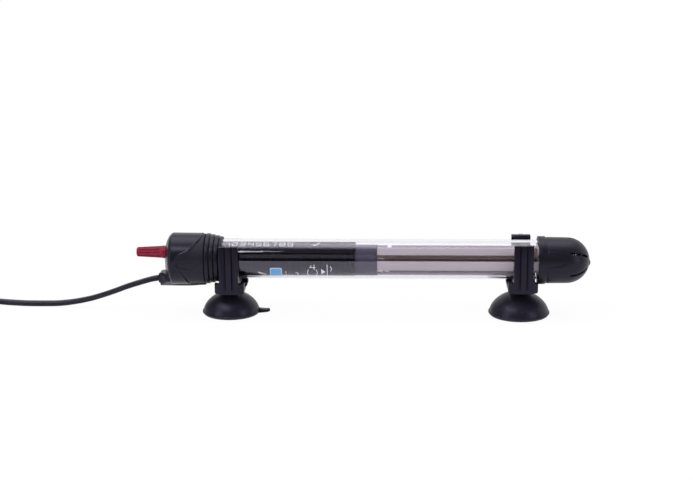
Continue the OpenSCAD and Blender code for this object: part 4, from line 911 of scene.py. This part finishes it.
def rounded_square(x, s, half_x, half_s, corner, lift):
    """Marks of a square with rounded corners about (x, s)."""
    v = np.linspace(-half_s, half_s, 29)
    over = np.maximum(0, np.abs(v) - (half_s - corner))
    half = half_x - corner + np.sqrt(np.maximum(0, corner ** 2 - over ** 2))
    return [mark(np.stack([x - half, s + v], -1), np.stack([x + half, s + v], -1), lift)]


printed("print_square_edge", rounded_square(-51.9, -7.1, 3.6, 4.1, 0.9, 0.03), pale_ink)
printed("print_square", rounded_square(-51.9, -7.1, 3.1, 3.6, 0.6, 0.05), blue_ink)


# ------------------------------------------------------------------ stage and light

def stage_floor():
    """A wide pale floor. Seen straight it is nearly white and keeps the object's shadow. What gloss
    and glass show of it glows, with a painted shadow beneath the object where that glow is cut."""
    low = -0.2 * MM
    mesh = bpy.data.meshes.new("floor")
    mesh.from_pydata([(-4, -3, low), (4, -3, low), (4, 6, low), (-4, 6, low)], [], [(0, 1, 2, 3)])
    floor = bpy.data.objects.new("floor", mesh)
    bpy.context.scene.collection.objects.link(floor)
    s = Finish("pale floor", Roughness=0.9, Specular_IOR_Level=0.0)
    mesh.materials.append(s.done(s.two_tone(s.mottle(400.0, 1.0), "f2f2f2", "f5f5f5")))
    offset = s.add("VectorMath", (s.place, (0.5, 1.0, 0.0), (60.0, 0.0, 0.0)), operation="MULTIPLY_ADD")
    away = s.add("VectorMath", (offset,), "Value", operation="LENGTH")
    rays = s.add("LightPath").node.outputs
    white = s.add("MapRange", (away, 120.0, 420.0, 0.94, 1.0))
    straight = s.add("Math", (rays["Is Camera Ray"], white), operation="MULTIPLY")
    second = s.add("Math", (rays["Is Glossy Ray"], rays["Is Transmission Ray"]), operation="MAXIMUM")
    across = s.add("Math", (s.add("SeparateXYZ", (s.place,), "Y"),), operation="ABSOLUTE")
    # painted shadow: the glow that gloss and glass see is cut to 0.3 within 10 mm of y = 0, beneath the
    # object, and rises to 0.88 at 34 mm
    painted_shadow_beneath = s.add("MapRange", (across, 10.0, 34.0, 0.3, 0.88))
    mirrored = s.add("Math", (second, painted_shadow_beneath), operation="MULTIPLY")
    share = s.add("Math", (straight, mirrored), operation="MAXIMUM")
    s.over(share, s.add("Emission", {"Strength": 1.0}))


def white_room():
    """World: even white light for matt surfaces. What gloss mirrors is white overhead and behind,
    dimmed to the left there, and dark in front up to a faint band before the overhead white."""
    world = bpy.data.worlds.new("studio")
    bpy.context.scene.world = world
    world.use_nodes = True
    tree = world.node_tree
    way = add_node(tree, "TexCoord", out="Generated")
    x, y, z = add_node(tree, "SeparateXYZ", (way,)).node.outputs
    smooth = {"interpolation_type": "SMOOTHSTEP"}
    behind = add_node(tree, "MapRange", (x, -0.8, -0.4, 0.3, 1.0), **smooth)
    front = add_node(tree, "MapRange", (y, -0.06, 0.02, 1.0, 0.0), **smooth)
    overhead = add_node(tree, "MapRange", (z, 0.955, 0.985, 0.0, 1.0), **smooth)
    band = add_node(tree, "MapRange", (z, 0.70, 0.78, 0.03, 0.16), **smooth)
    ahead = add_node(tree, "Mix", {0: overhead, 2: band, 3: 1.0})
    mirrored = add_node(tree, "Mix", {0: front, 2: behind, 3: ahead})
    rays = add_node(tree, "LightPath").node.outputs
    straight = (rays["Is Camera Ray"], rays["Is Transmission Ray"])
    plain = add_node(tree, "Math", straight, operation="MAXIMUM")
    ambient = add_node(tree, "Mix", {0: plain, 2: 0.55, 3: 1.0})
    strength = add_node(tree, "Mix", {0: rays["Is Glossy Ray"], 2: ambient, 3: mirrored})
    background = tree.nodes["Background"]
    tree.links.new(strength, background.inputs["Strength"])
    background.inputs["Color"].default_value = (1, 1, 1, 1)


def softbox(name, location, target, size, watts, mirrored=True):
    """A rectangular soft lamp that faces a target."""
    data = bpy.data.lights.new(name, "AREA")
    data.shape = "RECTANGLE"
    data.size, data.size_y = size
    data.energy = watts
    lamp = bpy.data.objects.new(name, data)
    bpy.context.scene.collection.objects.link(lamp)
    lamp.location = location
    lamp.rotation_euler = (Vector(target) - Vector(location)).to_track_quat("-Z", "Y").to_euler()
    lamp.visible_glossy = mirrored
    lamp.visible_camera = False
    return lamp


stage_floor()
white_room()
softbox("left softbox", (-1.0, -0.75, 0.45), (0.0, 0.0, 0.03), (0.35, 0.8), 3.6)
softbox("right softbox", (1.05, -0.7, 0.45), (0.0, 0.0, 0.03), (0.35, 0.8), 3.2)
softbox("key softbox", (-0.5, -0.43, 0.95), (-0.1, 0.0, 0.03), (0.78, 0.24), 4.4)
softbox("top softbox", (0.0, 0.25, 1.1), (0.0, 0.0, 0.03), (1.2, 0.7), 5.0)
softbox("front fill", (0.1, -1.2, 0.7), (0.0, 0.0, 0.03), (1.0, 0.6), 1.2, mirrored=False)

bpy.context.scene.view_settings.view_transform = "Standard"
